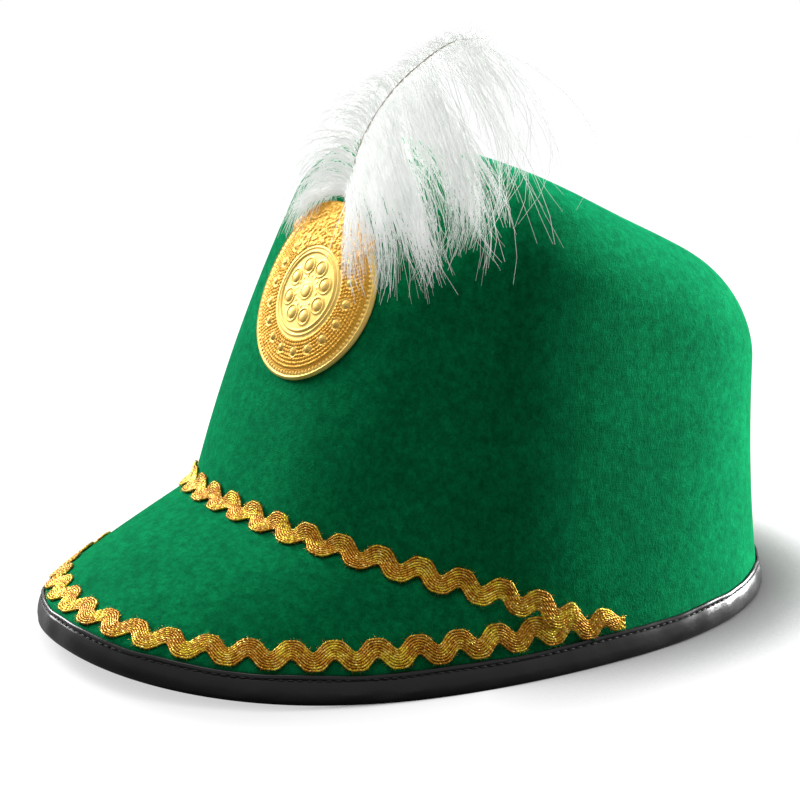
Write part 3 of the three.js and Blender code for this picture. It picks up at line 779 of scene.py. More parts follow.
class Finish:
    """One material with its principled shader and the means to add to it."""

    def __init__(self, name, **values):
        self.material = bpy.data.materials.new(name)
        self.material.use_nodes = True
        self.bench = NodeBench(self.material.node_tree)
        self.shader = self.material.node_tree.nodes["Principled BSDF"]
        self.place = self.bench.shader("TexCoord", "Object")
        self.use(**values)

    def group(self, name, **values):
        """A shared effect, made at its first use and placed with its own values."""
        if name not in GROUPS:
            GROUPS[name] = GROUP_MAKERS[name]()
        values = {"Vector": self.place, **values}
        return self.bench.add("ShaderNodeGroup", {"node_tree": GROUPS[name]}, values).outputs

    def mottle(self, scale, low=0.0, high=1.0):
        """Soft patches between two values."""
        return self.group("mottle", Scale=scale, Low=low, High=high)["Tone"]

    def fact(self, name):
        """A number that the mesh carries."""
        return self.bench.shader("Attribute", "Fac", {"attribute_name": name})

    def use(self, **sockets):
        """Sets the shader's values, or joins other nodes to them."""
        for key, value in spaced(sockets).items():
            self.bench.feed(self.shader.inputs[key], value)

    def bump(self, height, distance, strength=1.0, under=None):
        """A bump from a height in metres, over an earlier one."""
        inputs = {"Height": height, "Distance": distance, "Strength": strength, "Normal": under}
        return self.bench.shader("Bump", "Normal", **inputs)


def felt_finish(name, colours, lay):
    """Matt pressed felt with short fibres that lie along one direction."""
    sheen = {"Sheen_Weight": 0.3, "Sheen_Roughness": 0.4, "Sheen_Tint": (0.0, 0.9, 0.5, 1.0)}
    finish = Finish(name, Roughness=0.95, Specular_IOR_Level=0.02, **sheen)
    bench = finish.bench
    nap = finish.group("fibre", Fineness=2500.0, Lay=lay)
    depth = bench.product(finish.mottle(55.0, 0.86, 1.1), finish.mottle(340.0, 0.76, 1.22))
    tone = bench.blend(nap["Tone"], colours.felt_deep, colours.felt)
    grey = bench.add("ShaderNodeCombineColor", inputs={0: depth, 1: depth, 2: depth}).outputs[0]
    finish.use(Base_Color=bench.blend(1.0, tone, grey, "MULTIPLY"))
    finish.use(Normal=finish.bump(nap["Height"], 0.0007, 0.75))
    return finish.material


def vinyl_finish(colours):
    """Glossy black vinyl with a faint leather grain."""
    coat = {"Coat_Weight": 0.12, "Coat_Roughness": 0.12}
    finish = Finish("Black vinyl", Base_Color=colours.vinyl, Specular_IOR_Level=0.36, **coat)
    grain = finish.group("pebble", Scale=700.0)["Height"]
    finish.use(Roughness=finish.mottle(60.0, 0.24, 0.38))
    dents = finish.bump(finish.mottle(90.0), 0.0003, 0.35)
    finish.use(Normal=finish.bump(grain, 0.00002, 0.5, dents))
    return finish.material


def thread_finish(colours):
    """Dull black sewing thread."""
    finish = Finish("Black thread", Roughness=0.6)
    finish.use(Base_Color=finish.bench.blend(finish.mottle(900.0), colours.vinyl, THREAD_SHEEN))
    return finish.material


def braid_finish(colours):
    """Metallic gold thread, twisted, with coppery shades, bright flecks of painted glint and dark gaps of
    painted shade.
    """
    finish = Finish("Gold braid", Metallic=0.8, Specular_IOR_Level=0.5)
    bench = finish.bench
    patch, cloud = finish.mottle(750.0), finish.mottle(130.0)
    glint_and_gap_noise = finish.group("fibre", Fineness=1900.0, Lay=(1.0, 1.0, 1.0))
    streak = bench.math("MULTIPLY_ADD", finish.fact("share"), 37.0, bench.product(finish.fact("run"), 700.0))
    streak = bench.math("MULTIPLY_ADD", bench.math("SINE", streak), 0.3, patch)
    shade_share = bench.span(bench.math("MULTIPLY_ADD", cloud, 1.2, streak), 0.35, 1.2)
    base = bench.blend(shade_share, colours.gold, colours.copper)
    # painted glint: pale bright gold where the fibre noise is high
    base = bench.blend(bench.span(glint_and_gap_noise["Tone"], 0.6, 0.95, 0.0, 0.9), base, GOLD_PAINTED_GLINT)
    # painted shade: dark brown in the gaps where the fibre noise is low
    base = bench.blend(bench.span(glint_and_gap_noise["Tone"], 0.42, 0.0, 0.0, 0.95), base, GOLD_PAINTED_GAP_SHADE)
    finish.use(Base_Color=base, Roughness=bench.span(glint_and_gap_noise["Tone"], 0.0, 1.0, 0.55, 0.32))
    twist = bench.math("SINE", bench.product(finish.fact("run"), math.tau / TWIST_PITCH))
    height = bench.math("ADD", bench.product(twist, 0.4), glint_and_gap_noise["Height"])
    finish.use(Normal=finish.bump(height, 0.00014, 0.7))
    return finish.material


def badge_finish(colours):
    """Bright stamped metal, with painted orange shade in its hollows and over its cap, and grained where it
    is rough.
    """
    finish = Finish("Gold stamping", Metallic=0.75, Specular_IOR_Level=0.5)
    bench = finish.bench
    grain = finish.fact("grain")
    hollow = bench.product(finish.fact("hollow"), 0.95)
    rough = bench.math("MULTIPLY_ADD", grain, 0.3, finish.mottle(150.0, 0.0, 0.35))
    shade_and_grain = bench.math("MAXIMUM", hollow, rough)
    # painted shade: metal_deep in the hollows and over the cap, mixed with the tone of the real grain and
    # random mottle
    finish.use(Base_Color=bench.blend(shade_and_grain, colours.metal, colours.metal_deep))
    finish.use(Roughness=finish.mottle(600.0, 0.5, 0.64))
    height = bench.product(finish.group("pebble", Scale=1700.0)["Height"], grain)
    finish.use(Normal=finish.bump(height, 0.00013, 0.8))
    return finish.material


def feather_finish(name, base, shadow, painted_glow):
    """Soft thin barbs with a painted glow that stands in for light passing through them, and a fibre tone
    greyed towards a painted shadow colour.
    """
    # painted light: the emission makes the barbs and the quill glow, though they are no lamps
    finish = Finish(name, Roughness=0.8, Specular_IOR_Level=0.2, Emission_Strength=painted_glow)
    tone = finish.group("fibre", Fineness=300.0, Lay=(1.0, 1.0, 0.4))["Tone"]
    tint = finish.bench.blend(finish.bench.product(tone, 0.4), base, shadow)
    finish.use(Base_Color=tint, Emission_Color=tint)
    return finish.material


# Pieces


def build_felt(shako):
    """The felt crown and peak."""
    form = HatForm(shako)
    binding, peak, wall = shako.binding, shako.peak, shako.crown.wall
    last = math.atan(math.tan(peak.crease_half_angle) ** (1 / EVENNESS))
    front = even_angles(-last, last, 201)
    back = even_angles(math.pi / 2, math.pi * 3 / 2, 121)
    back = np.where(back < 0, back + math.tau, back)
    corner = peak.crease_half_angle + CORNER_STEP
    angle = np.concatenate([front, [corner], back, [math.tau - corner]])
    start = np.full(angle.shape, binding.wall + binding.gap)
    start[: len(front)] = form.crease_height(front) + peak.seam_gap
    low = form.level_of(angle, start)
    climb = low[None] + (1 - low[None]) * np.linspace(0, 1, 46)[:, None]
    turned = np.concatenate([np.linspace(1, 2, 17)[1:], np.linspace(2, 3, 15)[1:-1]])
    level = np.concatenate([climb, np.repeat(turned[:, None], len(angle), 1)])
    grid = form.crown_face(np.broadcast_to(angle, level.shape), level)
    apex = form.crown_face(np.array(0.0), np.array(3.0))
    crown = felt_shell("crown_felt", grid, wall, True, 1, form, apex)
    edge = np.linspace(0, 1, PEAK_EDGE_ROWS)[:-1]
    rows = np.concatenate([edge, 1 + np.linspace(0, 1, 42) ** 1.1])
    brim = felt_shell("peak_felt", form.peak_face(front, rows[:, None]), wall, False, PEAK_EDGE_ROWS, form)
    for piece, node, lay in ((crown, "crown", (1.0, 1.0, 0.85)), (brim, "peak", (0.7, 0.9, 1.0))):
        shade(piece, 50)
        finish_piece(piece, felt_finish(node.title() + " felt", shako.colours, lay), "felt", node)


def binding_section(binding, wall):
    """The strip's section, from its outer foot up, over its lip and down to its inner leg."""
    thick, gap, high, low = binding.wall, binding.gap, binding.height, binding.inner_height
    out, groove = gap + thick, high - STITCH_DROP
    inner = -wall - gap
    leg = inner - thick
    face = [(out - 0.0006, 0), (out - 0.0001, 0.0005), (out + 0.0002, 0.0016), (out + 0.0003, 0.0034)]
    face += [(out + 0.0002, 0.0052), (out, groove - 0.0007), (out - 0.0002, groove - 0.0003)]
    face += [(out - binding.groove, groove), (out - 0.0002, groove + 0.0003), (out - 0.0001, groove + 0.0008)]
    lip = [(out - 0.0003, high - 0.0002), (out - 0.0006, high), (gap + 0.0001, high - 0.0001)]
    fold = [(gap, high - 0.0005), (gap, thick), (inner, thick), (inner, low - 0.0003)]
    back = [(inner - 0.0003, low), (leg + 0.0003, low), (leg, low - 0.0003), (leg, 0.0006), (leg + 0.0006, 0)]
    return np.array(face + lip + fold + back)


def build_binding(shako):
    """The vinyl binding and its row of stitches."""
    form, binding = HatForm(shako), shako.binding
    angle = even_angles(-math.pi, math.pi, 461)[:-1]
    angle[0] = -math.pi
    section = binding_section(binding, shako.crown.wall)
    out, up = (np.repeat(section[None, :, k], len(angle), 0) for k in (0, 1))
    outside = (section[:, 0] > 0) & (section[:, 1] > 0.001)
    ripple = 0.00012 * np.sin(angle * 29) + 0.0001 * np.sin(angle * 47 + 1.0)
    out[:, outside] += ripple[:, None]
    near_top = outside & (section[:, 1] > binding.height - 0.0025)
    up[:, near_top] += (0.0002 * np.sin(angle * 17 + 0.6) - 0.0002)[:, None]
    normal = form.rim_normal(angle)
    grid = form.rim_face(angle[:, None], up) + normal[:, None] * out[..., None]
    faces = strip_faces(len(angle), len(section), True, True)[:, ::-1].tolist()
    strip = new_object("binding_strip", grid.reshape(-1, 3), faces, form)
    shade(strip, 60)
    finish_piece(strip, vinyl_finish(shako.colours), "binding", "rim_binding")
    seam = form.rim_face(angle, binding.height - STITCH_DROP)
    seam = seam + normal * (binding.gap + binding.wall - 0.0002)
    values = {
        "Pitch": binding.stitch,
        "Stitch Length": binding.stitch * 0.72,
        "Thread Radius": 0.00024,
        "Material": thread_finish(shako.colours),
    }
    guide = guide_line("stitch_guide", seam, form, {}, closed=True)
    finish_piece(grow("binding_stitches", guide, stitch_tree(), values), None, "binding")


def near_end(angle, end, degrees):
    """0 over most of the way, rising to 1 over the last degrees before the end on either side."""
    return smooth_step(np.abs(angle), end - math.radians(degrees), end)


def crease_guide(form, braid):
    """The upper braid's line on the crease, with the ways up the crown and down the peak."""
    half = braid.upper_half_angle
    angle = np.linspace(-half, half, 700)
    point = form.crease(angle)
    along = unit(np.gradient(point, axis=0))
    wall = face_normal(form.crown_face, angle, form.level_of(angle, form.crease_height(angle) + 0.004))
    slope = face_normal(form.peak_face, angle, np.full(angle.shape, 1.9))
    outward = unit(wall + slope)
    raised = braid.seat + braid.lap * near_end(angle, braid.lap_angle, 6)
    facts = {
        "uphill": unit(np.cross(wall, along)),
        "downhill": unit(np.cross(along, slope)),
        "outward": outward,
        "splay": 1 - 0.35 * near_end(angle, half, 2.5),
    }
    return guide_line("crease_guide", point + outward * raised[:, None], form, facts)


def edge_guide(form, braid):
    """The lower braid's line along the peak's edge."""
    half = braid.lower_half_angle
    angle = np.linspace(-half, half, 900)
    share = smooth_step(np.abs(angle), PEAK_SIDE_ANGLE, form.peak.crease_half_angle)[:, None]
    side = form.rim_normal(angle) + np.array([0, 0, 0.1])
    held = np.clip(angle, -PEAK_SIDE_ANGLE, PEAK_SIDE_ANGLE)
    slope = face_normal(form.peak_face, held, np.full(angle.shape, 1.15))
    outward = unit(slope * (1 - share) + side * share)
    edge = form.rim_face(angle, form.binding.height)
    uphill = unit(np.cross(outward, unit(np.gradient(edge, axis=0))))
    inset = braid.inset - 0.0018 * near_end(angle, half, 7)
    splay = 1 - 0.4 * near_end(angle, half, 3.5)
    facts = {"uphill": uphill, "downhill": -uphill, "outward": outward, "splay": splay}
    return guide_line("edge_guide", edge + uphill * inset[:, None] + outward * braid.seat, form, facts)


def build_braids(shako):
    """The two wavy braids."""
    form, braid = HatForm(shako), shako.braid
    values = {
        "Wave Length": braid.wave,
        "Swing": braid.swing,
        "Tape Width": braid.tape,
        "Threads": braid.threads,
        "Thread Radius": braid.thread,
        "Crease Bend": 0.0012,
        "Fuzz Pitch": 0.00015,
        "Fuzz Length": 0.0021,
        "Seed": 4,
        "Material": braid_finish(shako.colours),
    }
    tree = braid_tree()
    for node, guide in (("upper_braid", crease_guide), ("lower_braid", edge_guide)):
        tape = grow(node + "_tape", guide(form, braid), tree, values)
        finish_piece(tape, None, "gold_braid", node)


class BadgeSeat:
    """The smooth seat of the badge on the crown's front: a flat plane and a fitted depth behind it."""

    def __init__(self, form, badge):
        zero = np.array(0.0)
        self.centre = form.ruling(zero, badge.height / form.top_corner(zero)[..., 2])
        level = form.level_of(zero, np.array(badge.height))
        self.outward = face_normal(form.crown_face, zero, level)
        self.sideways = np.array([1.0, 0.0, 0.0])
        self.upward = unit(np.cross(self.outward, self.sideways))
        lines = 90
        angle, rows = np.linspace(-1.4, 1.4, lines), np.linspace(0.35, 2.2, lines)
        grid = form.crown_face(angle[None, :], rows[:, None])
        faces = strip_faces(lines, lines, False, False).tolist()
        tree = BVHTree.FromPolygons(grid.reshape(-1, 3).tolist(), faces)
        self.scale = badge.cap_radius + 0.006
        self.aside = badge.aside
        side = np.linspace(-self.scale, self.scale, 31)
        x, y = [v.ravel() for v in np.meshgrid(side, side)]
        start = self.flat(x, y) + self.outward * PROBE_LENGTH
        found = [tree.ray_cast(Vector(p), Vector(-self.outward))[3] for p in start]
        depth = PROBE_LENGTH - np.array(found, float)
        self.weights = np.linalg.lstsq(self.terms(x, y), depth, rcond=None)[0]

    def flat(self, x, y):
        """A point of the flat plane that touches the badge's centre."""
        return self.centre + np.multiply.outer(x, self.sideways) + np.multiply.outer(y, self.upward)

    def terms(self, x, y):
        """Powers of both places, up to the sixth."""
        x, y = x / self.scale, y / self.scale
        return np.stack([x**i * y**j for i in range(7) for j in range(7 - i)], -1)

    def point(self, x, y, height):
        """A place on the felt, raised off it."""
        x = x + self.aside
        rise = self.terms(x, y) @ self.weights + height
        return self.flat(x, y) + np.multiply.outer(rise, self.outward)


def cap_share(badge, angle):
    """1 where the badge has its wider cap, and 0 elsewhere."""
    limit = math.cos(badge.cap_half_angle)
    return smooth_step(np.cos(angle - math.pi / 2), limit - 0.01, limit + 0.01)


def badge_edge(badge, in_cap):
    """The badge's radius, with its cap or without."""
    return badge.radius + (badge.cap_radius - badge.radius) * in_cap


def badge_lift(badge, y):
    """How much further the badge stands off the felt towards its top."""
    return badge.stand_off * (np.maximum(0, y) / badge.radius) ** 2


def domed(distance, radius):
    """The height of a round bead, from 0 at its edge to 1 at its middle."""
    return np.sqrt(np.clip(1 - (distance / radius) ** 2, 0, 1))


def ridge(distance, width):
    """A smooth ridge of that half width."""
    return np.clip(1 - (distance / width) ** 2, 0, 1) ** 1.5


def bead_row(x, y, row_radius, beads, bead_radius, phase=0.0):
    """Beads at even angles on a circle: their height shares, and how far the nearest one is."""
    pitch = math.tau / beads
    nearest = np.round((np.arctan2(y, x) - phase) / pitch) * pitch + phase
    away = np.hypot(x - row_radius * np.cos(nearest), y - row_radius * np.sin(nearest))
    return domed(away, bead_radius), away


def cap_grain(x, y, badge, where, rng):
    """Small pebbles at random places of the cap."""
    seeds = rng.uniform(-1, 1, (4200, 2)) * badge.cap_radius
    px, py = x[where], y[where]
    best = np.full(px.shape, 1.0)
    for sx, sy in seeds:
        best = np.minimum(best, np.hypot(px - sx, py - sy))
    pebbles = np.zeros_like(x)
    pebbles[where] = domed(best, 0.00052)
    return pebbles


def badge_relief(x, y, badge, rng):
    """The badge's height over its seat, how much painted shade each place gets and how grained it is."""
    r = np.hypot(x, y)
    in_cap = cap_share(badge, np.arctan2(y, x))
    cap = in_cap * smooth_step(r, 0.0148, 0.0158)
    relief = 0.0005 * ridge(r - 0.0132, 0.0006) + 0.00035 * ridge(r - 0.0147, 0.0005)
    # painted shade: the grooves round the rings, beads and edge row are tinted dark orange
    painted_shade = 0.5 * ridge(r - 0.0125, 0.0005)
    rosette, away = bead_row(x, y, badge.rosette, badge.rosette_beads, 0.0019, math.pi / 8)
    for share, distance in ((domed(r, 0.0023), r), (rosette, away)):
        relief += 0.00075 * share + 0.0003 * ridge(distance - 0.0027, 0.0005)
        painted_shade += 0.7 * ridge(distance - 0.0021, 0.0004) + 0.3 * ridge(distance - 0.0034, 0.0005)
    relief += 0.00015 * bead_row(x, y, 0.0052, 16, 0.0006)[0]
    band = smooth_step(r, 0.0158, 0.0164) * (1 - smooth_step(r, 0.0262, 0.0268)) * (1 - cap)
    large, away = bead_row(x, y, badge.band, badge.band_beads, 0.0013)
    lumps = 0.0008 * large + 0.0002 * ridge(away - 0.0019, 0.0004)
    painted_shade += band * 0.8 * ridge(away - 0.0015, 0.0004)
    clear = smooth_step(away, 0.0018, 0.0022)
    for row_radius, beads, size in zip(*BAND_ROWS.values()):
        share, away = bead_row(x, y, row_radius, beads, size, row_radius * 900)
        lumps += clear * 0.00042 * share
        painted_shade += band * clear * 0.16 * smooth_step(away, size * 0.7, size * 1.15)
    relief += band * lumps
    ring = bead_row(x, y, EDGE_ROW, 108, 0.00064)[0]
    relief += (1 - cap) * (0.0005 * ring - 0.0003 * ridge(r - EDGE_ROW, 0.0009))
    painted_shade += (1 - cap) * ridge(r - EDGE_ROW, 0.0008) * (0.7 - 0.5 * ring)
    relief += 0.0003 * smooth_step(r, 0.0277, 0.0281) * (1 - cap)
    pebbles = cap_grain(x, y, badge, cap > 0.01, rng)
    relief += cap * (0.0003 + 0.0003 * pebbles)
    # painted shade: the cap is tinted dark orange all over, less on its pebbles' tops
    painted_shade += cap * (1.2 - 0.45 * pebbles)
    outer = badge_edge(badge, in_cap)
    high = badge.plate + badge.dome * (1 - (r / badge.radius) ** 2)
    high = high + relief - 0.0006 * smooth_step(r, outer - 0.0007, outer) + badge_lift(badge, y)
    return high, np.clip(painted_shade, 0, 1), np.clip(band * 0.8 + cap, 0, 1)


def build_badge(shako):
    """The stamped badge, bent onto the crown's front."""
    form, badge = HatForm(shako), shako.badge
    seat = BadgeSeat(form, badge)
    angle = np.linspace(0, math.tau, 397)[:-1]
    outer = badge_edge(badge, cap_share(badge, angle))
    x, y = [np.linspace(0, 1, 125)[1:, None] * outer * f(angle) for f in (np.cos, np.sin)]
    high, painted_shade, grain = badge_relief(x, y, badge, np.random.default_rng(11))
    front = seat.point(x, y, badge.seat + high)
    back_share = np.array([1.0, 0.97, 0.7, 0.35])
    bx, by = [back_share[:, None] * outer * f(angle) for f in (np.cos, np.sin)]
    back = seat.point(bx, by, badge.seat + badge_lift(badge, by))
    zero = np.array(0.0)
    ends = [seat.point(zero, zero, badge.seat + rise) for rise in (high[0, 0], 0.0)]
    points = np.concatenate([front.reshape(-1, 3), back.reshape(-1, 3), ends])
    rows, columns = len(front) + len(back), len(angle)
    faces = strip_faces(rows, columns, False, True)[:, ::-1].tolist()
    middle, behind = len(points) - 2, len(points) - 1
    last = (rows - 1) * columns
    for c in range(columns):
        n = (c + 1) % columns
        faces += [(c, n, middle), (last + n, last + c, behind)]
    plate = new_object("badge_plate", points, faces, form)
    tail = np.zeros(len(points) - high.size)
    # the painted shade rides on the points, for the finish to tint with
    carry(plate.data, {"hollow": np.append(painted_shade, tail), "grain": np.append(grain, tail)})
    shade(plate, 60)
    finish_piece(plate, badge_finish(shako.colours), "badge_metal", "badge")


QUILL_LINE = {
    "side": (0, 0.03, 0.055, 0.08, 0.11, 0.14),
    "back": (0, 0.042, 0.146, 0.259, 0.392, 0.518),
    "rise": (0, 0.21, 0.374, 0.479, 0.561, 0.57),
}
LONG_LOCKS = {
    "leaves": (0, 0.05, 0.09, 0.14, 0.2, 0.27, 0.34, 0.42, 0.51, 0.61, 0.72, 0.83, 0.94, 1),
    "around": (9, 13, 17, 21, 25, 29, 33, 37, 41, 45, 48, 50, 52, 53),
    "level": (0.83, 0.84, 0.85, 0.86, 0.88, 0.89, 0.91, 0.93, 0.96, 1.01, 1.1, 1.21, 1.34, 1.4),
}
SHORT_LOCKS = {
    "leaves": (0, 0.06, 0.17, 0.29, 0.42, 0.56, 0.7, 0.84, 1),
    "side": (-0.22, -0.23, -0.23, -0.21, -0.18, -0.14, -0.11, -0.09, -0.05),
    "back": (-0.09, -0.08, -0.06, -0.04, -0.02, 0, 0.02, 0.03, 0.04),
    "rise": (-0.2, -0.14, -0.06, -0.03, -0.02, -0.02, -0.03, -0.03, -0.04),
}


def follow(table, share, *names):
    """Columns of a table at shares of its first column."""
    first = next(iter(table))
    return [np.interp(share, table[first], table[name]) for name in names]


def quill_point(share, root, size):
    """A point of the quill, on a smooth line through its table."""
    table = np.array(list(QUILL_LINE.values())).T
    padded = np.concatenate([[2 * table[0] - table[1]], table, [2 * table[-1] - table[-2]]])
    place = np.clip(np.asarray(share, float), 0, 1) * (len(table) - 1)
    i = np.minimum(place.astype(int), len(table) - 2)
    t = (place - i)[..., None]
    a, b, c, d = (padded[i + k] for k in range(4))
    bend, turned = 2 * a - 5 * b + 4 * c - d, 3 * b - a - 3 * c + d
    return root + 0.5 * (2 * b + (c - a) * t + bend * t**2 + turned * t**3) * size


def feather_root(form, shako):
    """Where the quill leaves the felt, just over the badge's cap."""
    seat = BadgeSeat(form, shako.badge)
    zero = np.array(0.0)
    return seat.point(zero, zero + shako.badge.cap_radius + QUILL_CLEARANCE, QUILL_CLEARANCE)


def long_barbs(form, feather, root, number, rng):
    """Control points of the barbs that fall over the near side, in locks that part at their tips."""
    locks = 58
    centre = (np.arange(locks) + rng.uniform(0.2, 0.8, locks)) / locks
    share = 1 - 0.85 * smooth_step(centre, 0.3, 0.7)
    lock = rng.choice(locks, number, p=share / share.sum())
    leaves = np.clip(centre[lock] + rng.normal(0, 0.022, number), 0, 1)
    lock_turn, lock_level = rng.normal(0, 2.4, locks), rng.normal(0, 0.035, locks)
    lock_reach, lock_rise = rng.normal(1.0, 0.05, locks), rng.uniform(0.2, 1.0, locks)
    lock_sweep = rng.normal(0, 0.14, (locks, 2))
    around, level = follow(LONG_LOCKS, leaves, "around", "level")
    around = around + lock_turn[lock]
    level = level + lock_level[lock] + 0.02
    around += rng.normal(0, 0.34, number)
    level += rng.normal(0, 0.01, number)
    stray = rng.uniform(size=number) < 0.06 + 0.3 * smooth_step(leaves, 0.5, 0.8)
    around[stray] += rng.normal(1, 5, stray.sum())
    level[stray] += rng.normal(0.03, 0.05, stray.sum())
    angle = np.radians(around)
    outward = face_normal(form.crown_face, angle, level)
    raised = 0.0025 + 0.0055 * lock_rise[lock] * rng.uniform(0.5, 1.0, number)
    start = quill_point(leaves, root, feather.length)
    tip = form.crown_face(angle, level) + outward * raised[:, None]
    reach = np.clip(lock_reach[lock] * rng.uniform(0.9, 1.03, number), 0.6, 1.06)
    short = rng.uniform(size=number) < 0.3
    reach[short] *= rng.uniform(0.45, 0.9, short.sum())
    fall = np.linalg.norm(tip - start, axis=1)[:, None]
    away = np.stack([np.sin(angle), 0 * angle, 0.5 * (1 - leaves)], -1)
    away = unit(away + rng.normal(0, 0.1, (number, 3)))
    leaving = start + away * fall * (rng.uniform(0.12, 0.26, number) * (1 - 0.6 * leaves))[:, None]
    across = np.stack([np.cos(angle), np.sin(angle), 0 * angle], -1)
    sweep = lock_sweep[lock] + rng.normal(0, 0.03, (number, 2))
    sweep[stray] *= 1.7
    hanging = tip + outward * fall * 0.05 + UP * fall * rng.uniform(0.34, 0.46, number)[:, None]
    hanging += across * fall * sweep[:, :1]
    tip = tip + across * fall * sweep[:, 1:] * 0.5
    return cut_short(start, leaving, hanging, tip, reach)


def cut_short(start, leaving, hanging, tip, reach):
    """The same bent lines, ended at a share of their way, by splitting each one there."""
    t = reach[:, None]
    a, b, c = (p + (q - p) * t for p, q in ((start, leaving), (leaving, hanging), (hanging, tip)))
    d, e = a + (b - a) * t, b + (c - b) * t
    return start, a, d, d + (e - d) * t


def short_barbs(feather, root, number, rng):
    """Control points of the short barbs on the far side of the quill: a comb of curved teeth, with
    fluff between them."""
    teeth = 34
    tooth = rng.integers(0, teeth, number)
    fluff = rng.uniform(size=number) < 0.5
    leaves = 0.8 * ((tooth + 0.5) / teeth) ** 1.3 + rng.normal(0, 0.0018, number)
    leaves = np.clip(np.where(fluff, rng.uniform(0, 1, number) ** 2.6, leaves), 0, 1)
    start = quill_point(leaves, root, feather.length)
    offset = np.stack(follow(SHORT_LOCKS, leaves, "side", "back", "rise"), -1)
    offset *= np.where(fluff, rng.uniform(0.35, 1.1, number), rng.uniform(0.86, 1.02, number))[:, None]
    offset[:, 0] -= 0.11 * rng.uniform(0, 1, number) * (1 - smooth_step(leaves, 0.08, 0.3))
    upper = smooth_step(leaves, 0.3, 0.62)
    offset *= (1 - 0.62 * upper)[:, None]
    apart = rng.normal(0, 0.0009, (teeth, 3))[tooth] + rng.normal(0, 0.0003, (number, 3))
    apart = np.where(fluff[:, None], rng.normal(0, 0.0024, (number, 3)), apart)
    tip = start + offset * feather.length + apart
    rise = UP * (0.006 - 0.004 * upper + rng.normal(0, 0.0004, number))[:, None]
    leaving = start + (tip - start) * np.array([0.3, 0.3, 0.1]) + rise
    hanging = start + (tip - start) * np.array([0.8, 0.8, 0.4]) + rise
    return start, leaving, hanging, tip


def down_hairs(barbs, number, size, rng):
    """Fine hairs that leave random places of the barbs."""
    pick = rng.integers(0, len(barbs[0]), number)
    t = 0.06 + 0.78 * rng.uniform(0, 1, number)[:, None] ** 1.9
    a, b, c, d = (stops[pick] for stops in barbs)
    place = a * (1 - t) ** 3 + b * 3 * t * (1 - t) ** 2 + c * 3 * t**2 * (1 - t) + d * t**3
    along = unit((b - a) * (1 - t) ** 2 + (c - b) * 2 * t * (1 - t) + (d - c) * t**2)
    aside = unit(np.cross(along, rng.normal(0, 1, (number, 3))))
    reach = size * rng.uniform(0.5, 1.2, number)[:, None]
    first = place + (along * 0.5 + aside * 0.5) * reach * 0.4
    second = place + (along * 0.8 + aside * 0.6) * reach * 0.8
    return place, first, second, place + (along * 1.1 + aside * 0.55 - UP * 0.25) * reach


def grow_barbs(name, barbs, stoutest, rng, form, tree, values, *nodes):
    """Barbs grown from their control points, some stouter than others."""
    facts = {label: stops + form.shift for label, stops in zip(BARB_STOPS, barbs[1:])}
    facts["stout"] = rng.uniform(0.6, stoutest, len(barbs[0]))
    guide = guide_line(name + "_guide", barbs[0], form, facts)
    finish_piece(grow(name, guide, tree, values), None, "feather", *nodes)


def build_feather(shako):
    """The ostrich feather: its quill, the two vanes and the down."""
    form, feather, colours = HatForm(shako), shako.feather, shako.colours
    root = feather_root(form, shako)
    rng = np.random.default_rng(23)
    tree = barb_tree()
    # 0.34 and 0.05 are the strengths of the painted glow on the barbs and on the quill
    white = feather_finish("White barbs", colours.feather, BARB_SHADOW, 0.34)
    horn = feather_finish("Quill horn", colours.quill, QUILL_SHADOW, 0.05)
    values = {"Steps": 12, "Radius": feather.barb, "Tip Share": 0.3, "Flutter": 0.0035, "Material": white}
    right = long_barbs(form, feather, root, feather.long_barbs, rng)
    grow_barbs("feather_long_vane", right, 1.15, rng, form, tree, values, "feather")
    left = short_barbs(feather, root, feather.short_barbs, rng)
    values.update({"Steps": 9, "Flutter": 0.0016, "Radius": feather.barb * 0.9})
    grow_barbs("feather_short_vane", left, 1.1, rng, form, tree, values)
    near_side = int(feather.down * 0.7)
    near = down_hairs(right, near_side, 0.0034, rng)
    far = down_hairs(left, feather.down - near_side, 0.0032, rng)
    fluff = [np.concatenate(pair) for pair in zip(near, far)]
    values.update({"Steps": 3, "Flutter": 0.0006, "Radius": feather.barb * 0.42})
    grow_barbs("feather_down", fluff, 1.1, rng, form, tree, values)
    build_quill(form, feather, root, horn)


def build_quill(form, feather, root, finish):
    """The tapering quill."""
    rings, sides = 60, 10
    share = np.linspace(0, 1, rings)
    line = quill_point(share, root, feather.length)
    along = unit(np.gradient(line, axis=0))
    side = unit(np.cross(along, np.array([0.0, -1.0, 0.4])))
    off = np.cross(along, side)
    around = np.linspace(0, math.tau, sides + 1)[:-1]
    wide = feather.quill * (1 - 0.72 * share)[:, None, None]
    ring = side[:, None] * np.cos(around)[None, :, None] + off[:, None] * np.sin(around)[None, :, None]
    grid = line[:, None] + ring * wide
    faces = strip_faces(rings, sides, False, True).tolist()
    faces.append(list(range(sides))[::-1])
    faces.append(list(range((rings - 1) * sides, rings * sides)))
    quill = new_object("feather_quill", grid.reshape(-1, 3), faces, form)
    shade(quill, 60)
    finish_piece(quill, finish, "feather")


# Stage


def look_at(obj, place, target):
    """Puts an object at a place, with its -Z towards the target."""
    obj.location = place
    obj.rotation_euler = (Vector(target) - Vector(place)).to_track_quat("-Z", "Y").to_euler()


